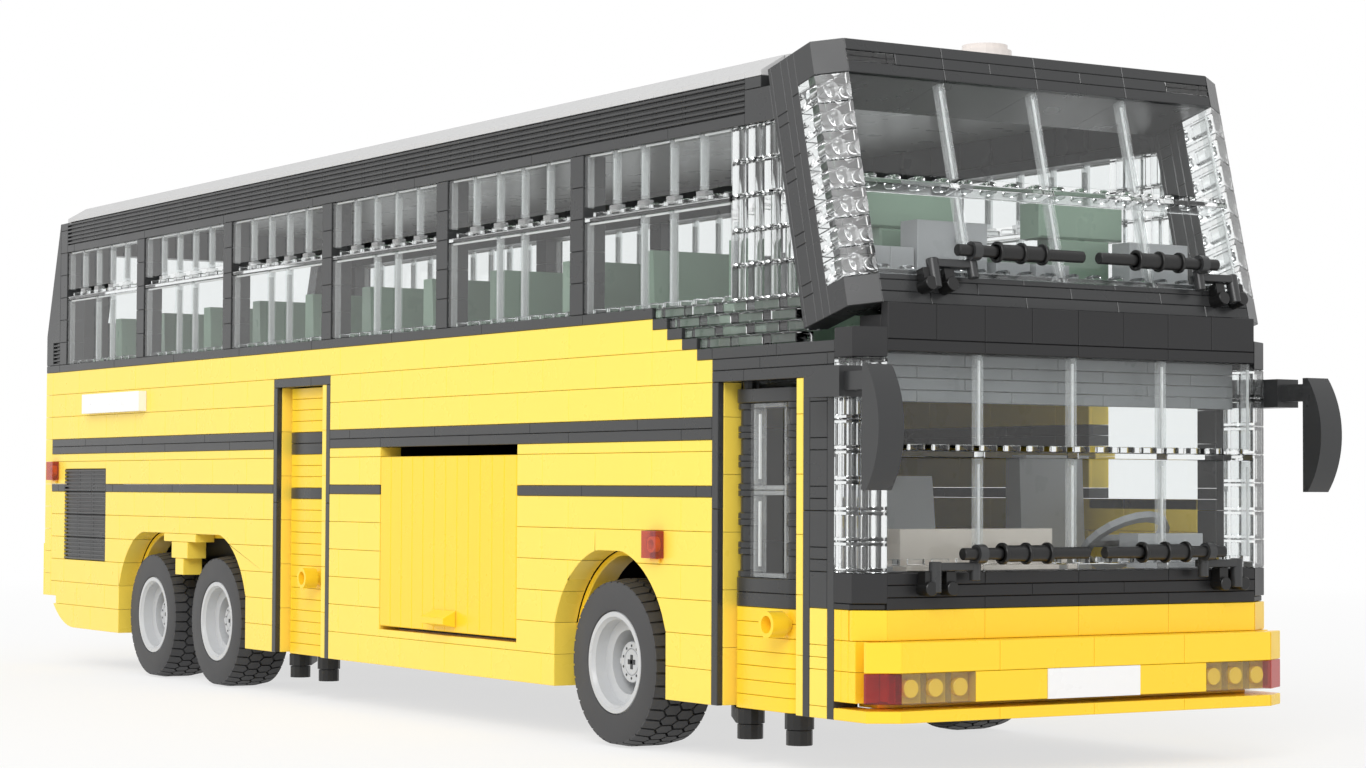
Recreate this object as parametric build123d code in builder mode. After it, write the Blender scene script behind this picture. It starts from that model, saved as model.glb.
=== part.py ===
"""Brick-built toy model of a double-decker coach, in millimetres.

X points forward, Y to the left side and Z up. The origin is on the ground, at the middle of the box.
Places along the bus are counted in studs from the rear end of the side walls, and heights in plates
from the bottom edge of the walls, as the toy itself is counted.
"""

import os
from math import atan2, cos, degrees, radians, sin, sqrt, tan

from build123d import *

# Grid of the toy
PITCH = 8.0
PLATE = 0.4 * PITCH
ROW = PITCH / 2
CLEARANCE = 0.3
RUN_GAP = 0.06
# Flats on small round pieces, on rims and the dome, and on tyres
SMALL_FLATS = 12
RIM_FLATS = 20
TYRE_FLATS = 32

# Wheels and running gear
WHEEL_RADIUS = 24.75
TYRE_WIDTH = 20.0
TYRE_INSET = 2.0
AXLE_RADIUS = 2.4
AXLE_RISE = 8.75
ARCH_SIDE = 7.25
ARCH_ROUND = 8.85
ARCH_HEAD = 8.1
LEAN = 14.0

# Places along the bus, in studs: the wall ends at the front door, and the nose follows the door
FRONT_AXLE = 59
REAR_AXLES = (14, 22)
WALL_END = 66
DOOR_STUDS = 6
DOOR_AXLES = (1, 4)
FRONT_DOOR = WALL_END
REAR_DOOR = 29
COLUMN = FRONT_DOOR + DOOR_STUDS
FRONT_BACK = COLUMN + 1.4
FRONT_STUD = FRONT_BACK + 1.6
PILLARS = (12, 23, 34, 45, 56)
RAIL_STUDS = (2, WALL_END + 2)
HATCH = (40, 52)
GRILLE = (2, 8)
JAMB = 0.4

# Widths and reaches worked out from the grid
HALF_WIDTH = 9 * PITCH
WALL = PITCH
INNER = HALF_WIDTH - WALL
GLASS = PITCH / 4
GLASS_INSET = 0.05 * PITCH
SHELF_DEPTH = 0.55 * PITCH
SKIN = PITCH / 4
SLOPE_RUN = 0.6 * PITCH
REAR_REACH = 1.2 * PITCH
MIRROR_REACH = 2.25 * PITCH
X_REAR = -(FRONT_STUD * PITCH + MIRROR_REACH - REAR_REACH) / 2
AXLE_Z = WHEEL_RADIUS
WALL_BOTTOM = AXLE_Z - AXLE_RISE
FLOOR_TOP = AXLE_Z + PITCH / 2 + PLATE
TYRE_FACE = HALF_WIDTH - TYRE_INSET
TYRE_BACK = TYRE_FACE - TYRE_WIDTH
RIGHT = -1
LEFT = 1
SIDES = ((RIGHT, "right"), (LEFT, "left"))


def at(stud):
    """X of a stud line, counted from the rear end of the side walls."""
    return X_REAR + stud * PITCH


def level(plates):
    """Z of a plate line, counted from the bottom edge of the side walls."""
    return WALL_BOTTOM + plates * PLATE


# Heights, in plates
SKIRT_TOP = 18
WALL_TOP = 34
BAND = (23, 25)
DECK = (28, 29)
WINDOW = (35, 50)
TRANSOM = (43.6, 45)
RAIL = (51, 54)
ROOF_TOP = 56
FRONT_DOOR_TOP = 28
REAR_DOOR_TOP = 30
HATCH_LEVELS = (4, 22)
GRILLE_LEVELS = (9, 21)
COLUMN_FOOT = 9
SILL = (9, 12)
HEADER = (30, 34)
# Stepped front of the yellow wall: stud where each step ends, and its top level
STEPS = [(WALL_END - 4 + step, WALL_TOP - step) for step in range(5)]
# Stepped block between the rear wheels: half width in studs, top and bottom below the arch in plates
PENDANT = ((2, 0, 1), (1, 1, 3), (0.5, 3, 5))

# Places worked out from the tables
FRONT_X = at(FRONT_STUD)
BACK_X = at(FRONT_BACK)
FRONT_AXLE_X = at(FRONT_AXLE)
REAR_AXLE_X = [at(stud) for stud in REAR_AXLES]
TANDEM_X = sum(REAR_AXLE_X) / 2
TANDEM_HALF = (REAR_AXLE_X[1] - REAR_AXLE_X[0]) / 2
ARCH_RADIUS = WHEEL_RADIUS + ARCH_ROUND
ARCH_HALF = WHEEL_RADIUS + ARCH_SIDE
ARCH_TOP = AXLE_Z + WHEEL_RADIUS + ARCH_HEAD
DOOR_Y = -INNER
DOOR_FOOT = level(0) - CLEARANCE
BRACKET_TOP = DOOR_FOOT - CLEARANCE
DOOR_TOPS = ((FRONT_DOOR, FRONT_DOOR_TOP), (REAR_DOOR, REAR_DOOR_TOP))


def side_plane(side, depth=0.0):
    """Upright plane for a wall, extruded towards -Y. Depth is from the wall's +Y face."""
    if side == RIGHT:
        return Plane.XZ.offset(INNER + depth)
    return Plane.XZ.offset(-HALF_WIDTH + depth)


def layer_plane(side, inset, thickness):
    """Plane for a layer of a wall, given by how far behind the wall's outer face it starts."""
    if side == RIGHT:
        return side_plane(side, WALL - inset - thickness)
    return side_plane(side, inset)


def patch(first, last, low, high, mode=Mode.ADD):
    """Rectangle between two stud lines and two plate lines, in a side sketch."""
    with Locations(((at(first) + at(last)) / 2, (level(low) + level(high)) / 2)):
        Rectangle(at(last) - at(first), level(high) - level(low), mode=mode)


def slab(x, y, z, mode=Mode.ADD):
    """Box between two X values, two Y values and two Z values."""
    with Locations(((x[0] + x[1]) / 2, (y[0] + y[1]) / 2, (z[0] + z[1]) / 2)):
        Box(x[1] - x[0], abs(y[1] - y[0]), z[1] - z[0], mode=mode)


def peg(plane, radius, length, mode=Mode.ADD, flats=SMALL_FLATS):
    """Round peg or bore with flats: a peg keeps inside its radius, a bore outside it."""
    with BuildSketch(plane, mode=Mode.PRIVATE) as face:
        RegularPolygon(radius, flats, major_radius=(mode == Mode.ADD))
    extrude(face.sketch, amount=length, mode=mode)


def post(centre, radius, low, high, mode=Mode.ADD, flats=SMALL_FLATS):
    """Upright peg on a plan point, from one Z to another."""
    peg(Plane((centre[0], centre[1], low)), radius, high - low, mode, flats)


def rod(x, z, radius, y_low, y_high, mode=Mode.ADD):
    """Peg along Y."""
    low, high = sorted((y_low, y_high))
    peg(Plane((x, low, z), (1, 0, 0), (0, 1, 0)), radius, high - low, mode)


def cross_rod(x, z, radius, y_low, y_high):
    """Axle along Y with the toy's cross-shaped section."""
    width = 0.75 * radius
    length = sqrt(4 * radius**2 - width**2)
    with BuildSketch(Plane((x, y_low, z), (1, 0, 0), (0, 1, 0)), mode=Mode.PRIVATE) as face:
        Rectangle(length, width)
        Rectangle(width, length)
    extrude(face.sketch, amount=y_high - y_low)


def round_bar(start, end, width):
    """Flat bar with round ends between two points of a sketch."""
    run = Vector(*end) - Vector(*start)
    middle = (Vector(*end) + Vector(*start)) / 2
    angle = degrees(atan2(run.Y, run.X))
    with Locations(Location((middle.X, middle.Y, 0), (0, 0, angle))):
        Rectangle(run.length, width)
        with Locations((-run.length / 2, 0), (run.length / 2, 0)):
            RegularPolygon(width / 2, SMALL_FLATS)


def save(part, name):
    """Label a finished piece and write it."""
    part.label = name
    export_step(part, f"parts/{name}.step")


def cut_arches():
    """Wheel arches: round, with a flat top and straight legs."""
    with BuildSketch(mode=Mode.PRIVATE) as arch:
        for x in (FRONT_AXLE_X, *REAR_AXLE_X):
            with Locations((x, AXLE_Z)):
                Circle(ARCH_RADIUS)
            with Locations((x, AXLE_Z / 2)):
                Rectangle(2 * ARCH_HALF, AXLE_Z)
        with Locations((TANDEM_X, ARCH_TOP / 2)):
            Rectangle(2 * TANDEM_HALF, ARCH_TOP)
        for x, half in ((FRONT_AXLE_X, ARCH_HALF), (TANDEM_X, TANDEM_HALF + ARCH_HALF)):
            with Locations((x, AXLE_Z / 2)):
                Rectangle(2 * half, AXLE_Z)
        with Locations((0, ARCH_TOP / 2)):
            Rectangle(4 * FRONT_X, ARCH_TOP, mode=Mode.INTERSECT)
    add(arch.sketch, mode=Mode.SUBTRACT)


def cut_rear_corner():
    """Rounded lower corner at the rear end of a wall."""
    run, rise = 3.5 * PITCH, 4 * PLATE
    radius = run**2 / (2 * rise) + rise / 2
    with BuildSketch(mode=Mode.PRIVATE) as corner:
        with Locations((at(0) + run / 2, level(0) + rise / 2)):
            Rectangle(run, rise)
        with Locations((at(0) + run, level(0) + radius)):
            Circle(radius, mode=Mode.SUBTRACT)
    add(corner.sketch, mode=Mode.SUBTRACT)


def cut_openings(side):
    """Places of the hatch, the grille and the doors in one side wall."""
    patch(*HATCH, HATCH_LEVELS[0], BAND[0], mode=Mode.SUBTRACT)
    patch(*GRILLE, *GRILLE_LEVELS, mode=Mode.SUBTRACT)
    if side == RIGHT:
        patch(REAR_DOOR, REAR_DOOR + DOOR_STUDS, 0, REAR_DOOR_TOP + 1, mode=Mode.SUBTRACT)


os.makedirs("parts", exist_ok=True)

# Skirts: the yellow walls around the wheels, below the first dark stripe
for side, name in SIDES:
    with BuildPart() as skirt:
        with BuildSketch(side_plane(side)):
            patch(0, WALL_END, 0, SKIRT_TOP)
            cut_openings(side)
            cut_arches()
            cut_rear_corner()
            for half, top, bottom in PENDANT:
                with Locations((TANDEM_X, ARCH_TOP - (top + bottom) * PLATE / 2)):
                    Rectangle(2 * half * PITCH, (bottom - top) * PLATE)
            if side == LEFT:
                patch(WALL_END, COLUMN, 0, SKIRT_TOP)
            patch(COLUMN, COLUMN + 1, 0, COLUMN_FOOT)
        extrude(amount=WALL)
    save(skirt.part, f"{name}_skirt")

# Upper yellow walls, with the stepped front end
for side, name in SIDES:
    with BuildPart() as wall:
        with BuildSketch(side_plane(side)):
            first = 0
            for stud, top in STEPS:
                patch(first, stud, BAND[1], top)
                first = stud
            patch(0, WALL_END, SKIRT_TOP + 1, BAND[0])
            cut_openings(side)
        extrude(amount=WALL)
        if side == RIGHT:
            with BuildSketch(side_plane(side)):
                for door, top in DOOR_TOPS:
                    end = door + DOOR_STUDS - JAMB
                    patch(end - JAMB, end, 0, top)
            extrude(amount=WALL)
            with BuildSketch(layer_plane(side, SKIN, WALL - SKIN)):
                for door, top in DOOR_TOPS:
                    patch(door, door + JAMB, 0, top)
            extrude(amount=WALL - SKIN)
    save(wall.part, f"{name}_wall")

# Dark stripes between the yellow rows
with BuildPart() as stripes:
    for side, name in SIDES:
        with BuildSketch(side_plane(side)):
            patch(0, WALL_END, SKIRT_TOP, SKIRT_TOP + 1)
            patch(0, WALL_END, *BAND)
            cut_openings(side)
        extrude(amount=WALL)
save(stripes.part, "stripes")

# Leaning upper front: foot of its face, slope and depth
UPPER_FOOT = at(FRONT_STUD - 0.275)
UPPER_DEPTH = 1.6 * PITCH
UPPER_SILL = PITCH
UPPER_GLASS = 7 * PITCH
UPPER_TOP = 3 * PLATE
FRAME_DEPTH = 2 * UPPER_DEPTH / cos(radians(LEAN))
RISE_GLASS = (UPPER_SILL, UPPER_SILL + UPPER_GLASS)
RISE_TOP = (RISE_GLASS[1], RISE_GLASS[1] + UPPER_TOP)


def frame_x(plates):
    """X of the leaning frame's rear face at a plate line."""
    return UPPER_FOOT - (plates - WALL_TOP) * PLATE * tan(radians(LEAN)) - FRAME_DEPTH


# Sloping rear end of the upper deck: foot, knee and top levels, and how far the top leans forward
TAIL_FOOT = 34
TAIL_KNEE = TAIL_FOOT + 5
TAIL_TOP = RAIL[1]
TAIL_RUN = 1.925 * PITCH

# Window frames: sill, pillars, beam, sloping rear end and the lintels of the doors
for side, name in SIDES:
    with BuildPart() as frame:
        with BuildSketch(side_plane(side)):
            patch(0, STEPS[0][0], WALL_TOP, WINDOW[0])
            for stud, top in STEPS[1:]:
                patch(stud - 1, stud, top, top + 1)
            patch(WALL_END, FRONT_BACK, FRONT_DOOR_TOP, FRONT_DOOR_TOP + 3)
            for stud in PILLARS:
                patch(stud, stud + 1, *WINDOW)
            patch(RAIL_STUDS[0], RAIL_STUDS[1], WINDOW[1], RAIL[0])
            Polygon(
                (at(-1), level(TAIL_FOOT)),
                (at(RAIL_STUDS[0]), level(TAIL_FOOT)),
                (at(RAIL_STUDS[0]), level(TAIL_TOP)),
                (at(-1) + TAIL_RUN, level(TAIL_TOP)),
                (at(-1), level(TAIL_KNEE)),
                align=None,
            )
            Polygon(
                (at(RAIL_STUDS[1]), level(WINDOW[1])),
                (frame_x(WINDOW[1]), level(WINDOW[1])),
                (frame_x(RAIL[1]), level(RAIL[1])),
                (at(RAIL_STUDS[1]), level(RAIL[1])),
                align=None,
            )
            if side == RIGHT:
                patch(REAR_DOOR, REAR_DOOR + DOOR_STUDS, REAR_DOOR_TOP, REAR_DOOR_TOP + 1)
        extrude(amount=WALL)
        if side == RIGHT:
            for door, top in DOOR_TOPS:
                hinge = (at(door + DOOR_AXLES[0]), DOOR_Y)
                x = (hinge[0] - PITCH / 2, hinge[0] + PITCH / 2)
                slab(x, (-INNER, -INNER + PITCH), (level(top), level(top + 1)))
                post(hinge, AXLE_RADIUS + RUN_GAP, level(top - 1), level(top + 2), Mode.SUBTRACT)
    save(frame.part, f"{name}_window_frame")

# Dark posts: the front columns, and the strips beside the doors
with BuildPart() as posts:
    for side, name in SIDES:
        with BuildSketch(side_plane(side)):
            patch(COLUMN, FRONT_BACK, COLUMN_FOOT, FRONT_DOOR_TOP)
            patch(COLUMN + 1, FRONT_BACK, 0, COLUMN_FOOT)
            if side == RIGHT:
                for door, top in DOOR_TOPS:
                    patch(door + DOOR_STUDS - JAMB, door + DOOR_STUDS, 0, top)
        extrude(amount=WALL)
    with BuildSketch(layer_plane(RIGHT, 0, SKIN)):
        for door, top in DOOR_TOPS:
            patch(door, door + JAMB, 0, top)
    extrude(amount=SKIN)
save(posts.part, "door_posts")

# Side glazing: a pane for each bay, with a shelf behind it at mid height and ribs where the panes meet
BAYS = list(zip((RAIL_STUDS[0], *[stud + 1 for stud in PILLARS]), (*PILLARS, WALL_END)))
UPPER_RIBS = (2, 4, 6, 8)
LOWER_RIBS = (4, 6)
RIB_HALF = 0.08
for side, name in SIDES:
    with BuildPart() as glazing:
        with BuildSketch(layer_plane(side, GLASS_INSET, GLASS)):
            for first, last in BAYS[:-1]:
                patch(first, last, *WINDOW)
            patch(BAYS[-1][0], STEPS[0][0], *WINDOW)
            stairs = [(at(STEPS[0][0]), level(WINDOW[0]))]
            for stud, top in STEPS[1:-1]:
                stairs += [(at(stud - 1), level(top + 1)), (at(stud), level(top + 1))]
            Polygon(
                *stairs,
                (at(WALL_END - 1), level(FRONT_DOOR_TOP + 3)),
                (frame_x(FRONT_DOOR_TOP + 3), level(FRONT_DOOR_TOP + 3)),
                (frame_x(WINDOW[1]), level(WINDOW[1])),
                (at(STEPS[0][0]), level(WINDOW[1])),
                align=None,
            )
            if side == LEFT:
                patch(WALL_END, COLUMN, SKIRT_TOP, FRONT_DOOR_TOP)
        extrude(amount=GLASS)
        with BuildSketch(layer_plane(side, GLASS_INSET + GLASS, SHELF_DEPTH)):
            for first, last in BAYS:
                patch(first, last, *TRANSOM)
                for rib in UPPER_RIBS:
                    patch(first + rib - RIB_HALF, first + rib + RIB_HALF, TRANSOM[1], WINDOW[1])
                for rib in LOWER_RIBS:
                    patch(first + rib - RIB_HALF, first + rib + RIB_HALF, WINDOW[0], TRANSOM[0])
            patch(STEPS[0][0], WALL_END, *WINDOW, mode=Mode.SUBTRACT)
        extrude(amount=SHELF_DEPTH)
    save(glazing.part, f"{name}_glazing")

# Ribbed rails above the windows and ribbed engine grilles
RIB = 0.6 * PLATE
RIB_DEPTH = 0.125 * PITCH


def ribbed_section(side, low, high):
    """Section of ribbed bricks: grooves run along the bus on the outer face."""
    with Locations((side * (HALF_WIDTH + INNER) / 2, (level(low) + level(high)) / 2)):
        Rectangle(WALL, level(high) - level(low))
    for rib in range(round((high - low) * PLATE / RIB)):
        with Locations((side * HALF_WIDTH, level(low) + (rib + 0.5) * RIB)):
            Rectangle(2 * RIB_DEPTH, RIB / 2, mode=Mode.SUBTRACT)


with BuildPart() as grilles:
    for side, name in SIDES:
        for studs, levels in ((RAIL_STUDS, RAIL), (GRILLE, GRILLE_LEVELS)):
            with BuildSketch(Plane.YZ.offset(at(studs[0]))):
                ribbed_section(side, *levels)
            extrude(amount=(studs[1] - studs[0]) * PITCH)
save(grilles.part, "ribbed_grilles")

# Roof with sloping edge pieces, and the round dome set into it
DOME = (at(WALL_END), 3 * PITCH)
with BuildPart() as roof:
    with BuildSketch(Plane.XZ.offset(-HALF_WIDTH)):
        Polygon(
            (at(RAIL_STUDS[0]), level(RAIL[1])),
            (frame_x(RAIL[1]), level(RAIL[1])),
            (frame_x(ROOF_TOP), level(ROOF_TOP)),
            (at(RAIL_STUDS[0]), level(ROOF_TOP)),
            align=None,
        )
    extrude(amount=2 * HALF_WIDTH)
    top_face = roof.faces().sort_by(Axis.Z)[-1]
    long_edges = top_face.edges().filter_by(Axis.X)
    chamfer(long_edges, length=PITCH, length2=1.5 * PLATE, reference=top_face)
    post(DOME, PITCH, level(RAIL[1] - 1), level(ROOF_TOP + 1), Mode.SUBTRACT, RIM_FLATS)
save(roof.part, "roof")

with BuildPart() as dome:
    brim = level(ROOF_TOP) + 3.5 * PLATE
    post(DOME, PITCH, level(RAIL[1]), brim, flats=RIM_FLATS)
    post(DOME, 0.85 * PITCH, brim, brim + PLATE / 2, flats=RIM_FLATS)
save(dome.part, "roof_dome")

# Yellow rear wall with its bumper and a recess for the lamps
TAIL_LAMP = (12, 18)
TAIL_LAMP_Y = (INNER - 2 * PITCH, INNER)
with BuildPart() as rear:
    slab((at(-1), at(0)), (-HALF_WIDTH, HALF_WIDTH), (level(4), level(WALL_TOP)))
    slab((X_REAR - REAR_REACH, at(-1)), (-HALF_WIDTH, HALF_WIDTH), (level(4), level(11)))
    fillet(rear.edges().filter_by(Axis.Y).group_by(Axis.X)[0], REAR_REACH - PITCH - CLEARANCE)
    for side, name in SIDES:
        y = (side * TAIL_LAMP_Y[0], side * TAIL_LAMP_Y[1])
        slab((at(-1), at(-0.6)), y, (level(TAIL_LAMP[0]), level(TAIL_LAMP[1])), Mode.SUBTRACT)
save(rear.part, "rear_wall")

# Red lamps: two on the rear and the corner pieces of the front lamp row
LAMP_FOOT = level(1.5)
LAMP_X = (FRONT_X + 2 * PLATE - PITCH / 2, FRONT_X + 2 * PLATE)
with BuildPart() as red_lamps:
    for side, name in SIDES:
        y = (side * TAIL_LAMP_Y[0], side * TAIL_LAMP_Y[1])
        slab((at(-1.1), at(-0.6)), y, (level(TAIL_LAMP[0]), level(TAIL_LAMP[1])))
        with BuildSketch(Plane.XY.offset(LAMP_FOOT)):
            Polygon(
                (LAMP_X[0], side * INNER),
                (LAMP_X[1], side * INNER),
                (LAMP_X[1] - SLOPE_RUN, side * HALF_WIDTH),
                (LAMP_X[0] - SLOPE_RUN, side * HALF_WIDTH),
                align=None,
            )
        extrude(amount=PITCH)
save(red_lamps.part, "red_lamps")

# Dark rear panel of the upper deck, with its window
REAR_WINDOW = (41, 50)
REAR_WINDOW_HALF = 6 * PITCH


def tail_x(plates):
    """X of the sloping rear panel's outer face at a plate line."""
    return at(-1) + (plates - TAIL_KNEE) / (TAIL_TOP - TAIL_KNEE) * TAIL_RUN


with BuildPart() as rear_panel:
    with BuildSketch(Plane.XZ.offset(-INNER)):
        Polygon(
            (at(-1), level(TAIL_FOOT)),
            (at(0), level(TAIL_FOOT)),
            (at(0), level(TAIL_KNEE)),
            (tail_x(TAIL_TOP) + PITCH, level(TAIL_TOP)),
            (tail_x(TAIL_TOP), level(TAIL_TOP)),
            (at(-1), level(TAIL_KNEE)),
            align=None,
        )
    extrude(amount=2 * INNER)
    y = (-REAR_WINDOW_HALF, REAR_WINDOW_HALF)
    slab((at(-2), at(4)), y, (level(REAR_WINDOW[0]), level(REAR_WINDOW[1])), Mode.SUBTRACT)
save(rear_panel.part, "rear_panel")

# Amber marker lamps on the sides
MARKERS = ((62.4, 13.75), (0.6, 20.75))
LAMP_PROUD = 0.375 * PITCH
with BuildPart() as markers:
    for stud, plates in MARKERS:
        for side, name in SIDES:
            y = (side * HALF_WIDTH, side * (HALF_WIDTH + LAMP_PROUD))
            x = (at(stud - 0.5), at(stud + 0.5))
            slab(x, y, (level(plates) - PITCH / 2, level(plates) + PITCH / 2))
save(markers.part, "marker_lamps")

# Luggage bay, open at both sides
with BuildPart() as bay:
    x = (at(HATCH[0]), at(HATCH[1]))
    z = (FLOOR_TOP, level(BAND[1]))
    slab((x[0] - SKIN, x[1] + SKIN), (-INNER, INNER), z)
    slab(x, (-INNER, INNER), (z[0] + SKIN, z[1] - SKIN), Mode.SUBTRACT)
save(bay.part, "luggage_bay")

# Frame: rails, floor, front axle beam and the lower brackets of the doors
RAIL_Y = 3 * PITCH
KINGPIN_Y = TYRE_BACK - 1.5 * PITCH
WELL_GAP = 0.25 * PITCH
STEP_DEPTH = 1.25 * PITCH
BRACKET_ARM = (-2.6 * PITCH, 1.5 * PITCH)
BEAM_Z = (AXLE_Z - PITCH / 2, AXLE_Z + PITCH / 2)
# Wheel wells: middle, half length and inner edge
WELLS = (
    (FRONT_AXLE_X, ARCH_HALF + WELL_GAP, KINGPIN_Y - 0.625 * PITCH),
    (TANDEM_X, TANDEM_HALF + ARCH_HALF + WELL_GAP, TYRE_BACK - PITCH / 2),
)
with BuildPart() as chassis:
    for side, name in SIDES:
        slab((at(1), BACK_X - JAMB * PITCH), (side * RAIL_Y - PITCH / 2, side * RAIL_Y + PITCH / 2), BEAM_Z)
    slab((FRONT_AXLE_X - PITCH / 2, FRONT_AXLE_X + PITCH / 2), (-KINGPIN_Y, KINGPIN_Y), BEAM_Z)
    for side, name in SIDES:
        pin = (FRONT_AXLE_X, side * KINGPIN_Y)
        post(pin, PITCH / 2, *BEAM_Z)
        post(pin, AXLE_RADIUS + RUN_GAP, 0, FLOOR_TOP, Mode.SUBTRACT)
    with BuildSketch(Plane.XY.offset(BEAM_Z[1])):
        with Locations(((at(0) + BACK_X) / 2, 0)):
            Rectangle(BACK_X - at(0), 2 * INNER)
        for x, half, edge in WELLS:
            for side, name in SIDES:
                with Locations((x, side * (edge + HALF_WIDTH) / 2)):
                    Rectangle(2 * half, HALF_WIDTH - edge, mode=Mode.SUBTRACT)
        for door in (FRONT_DOOR, REAR_DOOR):
            with Locations((at(door + DOOR_STUDS / 2), -INNER)):
                Rectangle(DOOR_STUDS * PITCH, 2 * STEP_DEPTH, mode=Mode.SUBTRACT)
    extrude(amount=PLATE)
    for x in REAR_AXLE_X:
        rod(x, AXLE_Z, AXLE_RADIUS + RUN_GAP, -TYRE_BACK, TYRE_BACK, Mode.SUBTRACT)
    for door in (FRONT_DOOR, REAR_DOOR):
        hinge = (at(door + DOOR_AXLES[0]), DOOR_Y)
        root = (hinge[0] + BRACKET_ARM[0], hinge[1] + BRACKET_ARM[1])
        with BuildSketch(Plane.XY.offset(BRACKET_TOP - ROW)):
            round_bar(root, hinge, PITCH)
        extrude(amount=ROW)
        post(root, 0.4 * PITCH, BRACKET_TOP - ROW / 2, FLOOR_TOP)
        post(hinge, AXLE_RADIUS + RUN_GAP, 0, level(0) + ROW, Mode.SUBTRACT)
save(chassis.part, "chassis")

# Wheel housings over the tyres
with BuildPart() as housings:
    for x, half, edge in WELLS:
        for side, name in SIDES:
            z = (FLOOR_TOP, ARCH_TOP + PLATE)
            slab((x - half - SKIN, x + half + SKIN), (side * (edge - SKIN), side * INNER), z)
            low = (FLOOR_TOP - PLATE, ARCH_TOP + PLATE - SKIN)
            slab((x - half, x + half), (side * edge, side * HALF_WIDTH), low, Mode.SUBTRACT)
save(housings.part, "wheel_housings")

# Upper deck floor, notched for the doors
with BuildPart() as deck:
    z = (level(DECK[0]), level(DECK[1]))
    slab((at(0), BACK_X), (-INNER, INNER), z)
    hinge_x = at(FRONT_DOOR + DOOR_AXLES[0])
    slab((hinge_x - PITCH / 2, hinge_x + PITCH / 2), (-HALF_WIDTH, -INNER + PITCH), z, Mode.SUBTRACT)
    x = (at(REAR_DOOR), at(REAR_DOOR + DOOR_STUDS))
    slab(x, (-HALF_WIDTH, -INNER + STEP_DEPTH), z, Mode.SUBTRACT)
save(deck.part, "upper_deck")


def front_row(reach):
    """Plan of a front row: straight face with sloping corner pieces."""
    Polygon(
        (BACK_X, -HALF_WIDTH),
        (FRONT_X + reach - SLOPE_RUN, -HALF_WIDTH),
        (FRONT_X + reach, -INNER),
        (FRONT_X + reach, INNER),
        (FRONT_X + reach - SLOPE_RUN, HALF_WIDTH),
        (BACK_X, HALF_WIDTH),
        align=None,
    )


# Yellow front: lower lip, lamp row, bumper and panel row. Foot and height in studs, reach in plates
FRONT_ROWS = ((0, 0.4, 2), (0.4, 0.2, -1), (0.6, 1, 2), (1.6, 1, 2), (2.6, 1, 0))
PLATE_HALF = 2 * PITCH
LAMPS_Y = (5 * PITCH, INNER)
with BuildPart() as bumper:
    for foot, height, reach in FRONT_ROWS:
        with BuildSketch(Plane.XY.offset(level(0) + foot * PITCH)):
            front_row(reach * PLATE)
        extrude(amount=height * PITCH)
    z = (LAMP_FOOT, LAMP_FOOT + PITCH)
    x = (LAMP_X[0], LAMP_X[1] + PLATE)
    slab(x, (-PLATE_HALF, PLATE_HALF), z, Mode.SUBTRACT)
    for side, name in SIDES:
        slab(x, (side * LAMPS_Y[0], side * LAMPS_Y[1]), z, Mode.SUBTRACT)
        with BuildSketch(Plane.XY.offset(LAMP_FOOT)):
            Polygon(
                (LAMP_X[0], side * INNER),
                (LAMP_X[1], side * INNER),
                (LAMP_X[1] - SLOPE_RUN, side * HALF_WIDTH),
                (LAMP_X[0] - SLOPE_RUN, side * HALF_WIDTH),
                align=None,
            )
        extrude(amount=PITCH, mode=Mode.SUBTRACT)
save(bumper.part, "front_bumper")

# Clear lamps in the front row, three square lenses a side
with BuildPart() as headlamps:
    for side, name in SIDES:
        slab(LAMP_X, (side * LAMPS_Y[0], side * LAMPS_Y[1]), (LAMP_FOOT, LAMP_FOOT + PITCH))
        for lens in range(3):
            y = side * (LAMPS_Y[0] + (lens + 0.5) * PITCH)
            with BuildSketch(Plane.YZ.offset(LAMP_X[1])):
                with Locations((y, LAMP_FOOT + PITCH / 2)):
                    Rectangle(PITCH - 2 * CLEARANCE, PITCH - 2 * CLEARANCE)
            extrude(amount=CLEARANCE, taper=30)
save(headlamps.part, "headlamps")

# Blank plate on the front and blank signs on the sides
SIGN = (5.5, 13.5)
SIGN_FOOT = 28.2
with BuildPart() as signs:
    slab(LAMP_X, (-PLATE_HALF, PLATE_HALF), (LAMP_FOOT, LAMP_FOOT + PITCH))
    for side, name in SIDES:
        y = (side * HALF_WIDTH, side * (HALF_WIDTH + PLATE))
        slab((at(SIGN[0]), at(SIGN[1])), y, (level(SIGN_FOOT), level(SIGN_FOOT) + PITCH))
save(signs.part, "sign_plates")

# Dark rows under the lower windscreen
with BuildPart() as sill:
    with BuildSketch(Plane.XY.offset(level(SILL[0]))):
        front_row(0)
    extrude(amount=level(SILL[1]) - level(SILL[0]))
save(sill.part, "front_sill")

# Header above the lower windscreen, with its corner pieces
CORNER_TOP = level(SILL[1]) + 7 * PITCH
with BuildPart() as header:
    with BuildSketch(Plane.XZ.offset(-INNER)):
        drop = (UPPER_FOOT - BACK_X) * tan(radians(LEAN))
        Polygon(
            (BACK_X, level(HEADER[0])),
            (FRONT_X, level(HEADER[0])),
            (FRONT_X, level(HEADER[1])),
            (UPPER_FOOT, level(HEADER[1])),
            (BACK_X, level(HEADER[1]) - drop),
            align=None,
        )
    extrude(amount=2 * INNER)
    with BuildSketch(Plane.XY.offset(CORNER_TOP)):
        front_row(0)
        with Locations((FRONT_X, 0)):
            Rectangle(4 * PITCH, 2 * INNER, mode=Mode.SUBTRACT)
    extrude(amount=PITCH)
save(header.part, "front_header")

# Leaning plane of the upper front: X across the bus, Y up the slope, Z outwards
lean_plane = Plane(
    origin=(UPPER_FOOT, 0, level(WALL_TOP)),
    x_dir=(0, 1, 0),
    z_dir=(cos(radians(LEAN)), 0, sin(radians(LEAN))),
)


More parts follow.
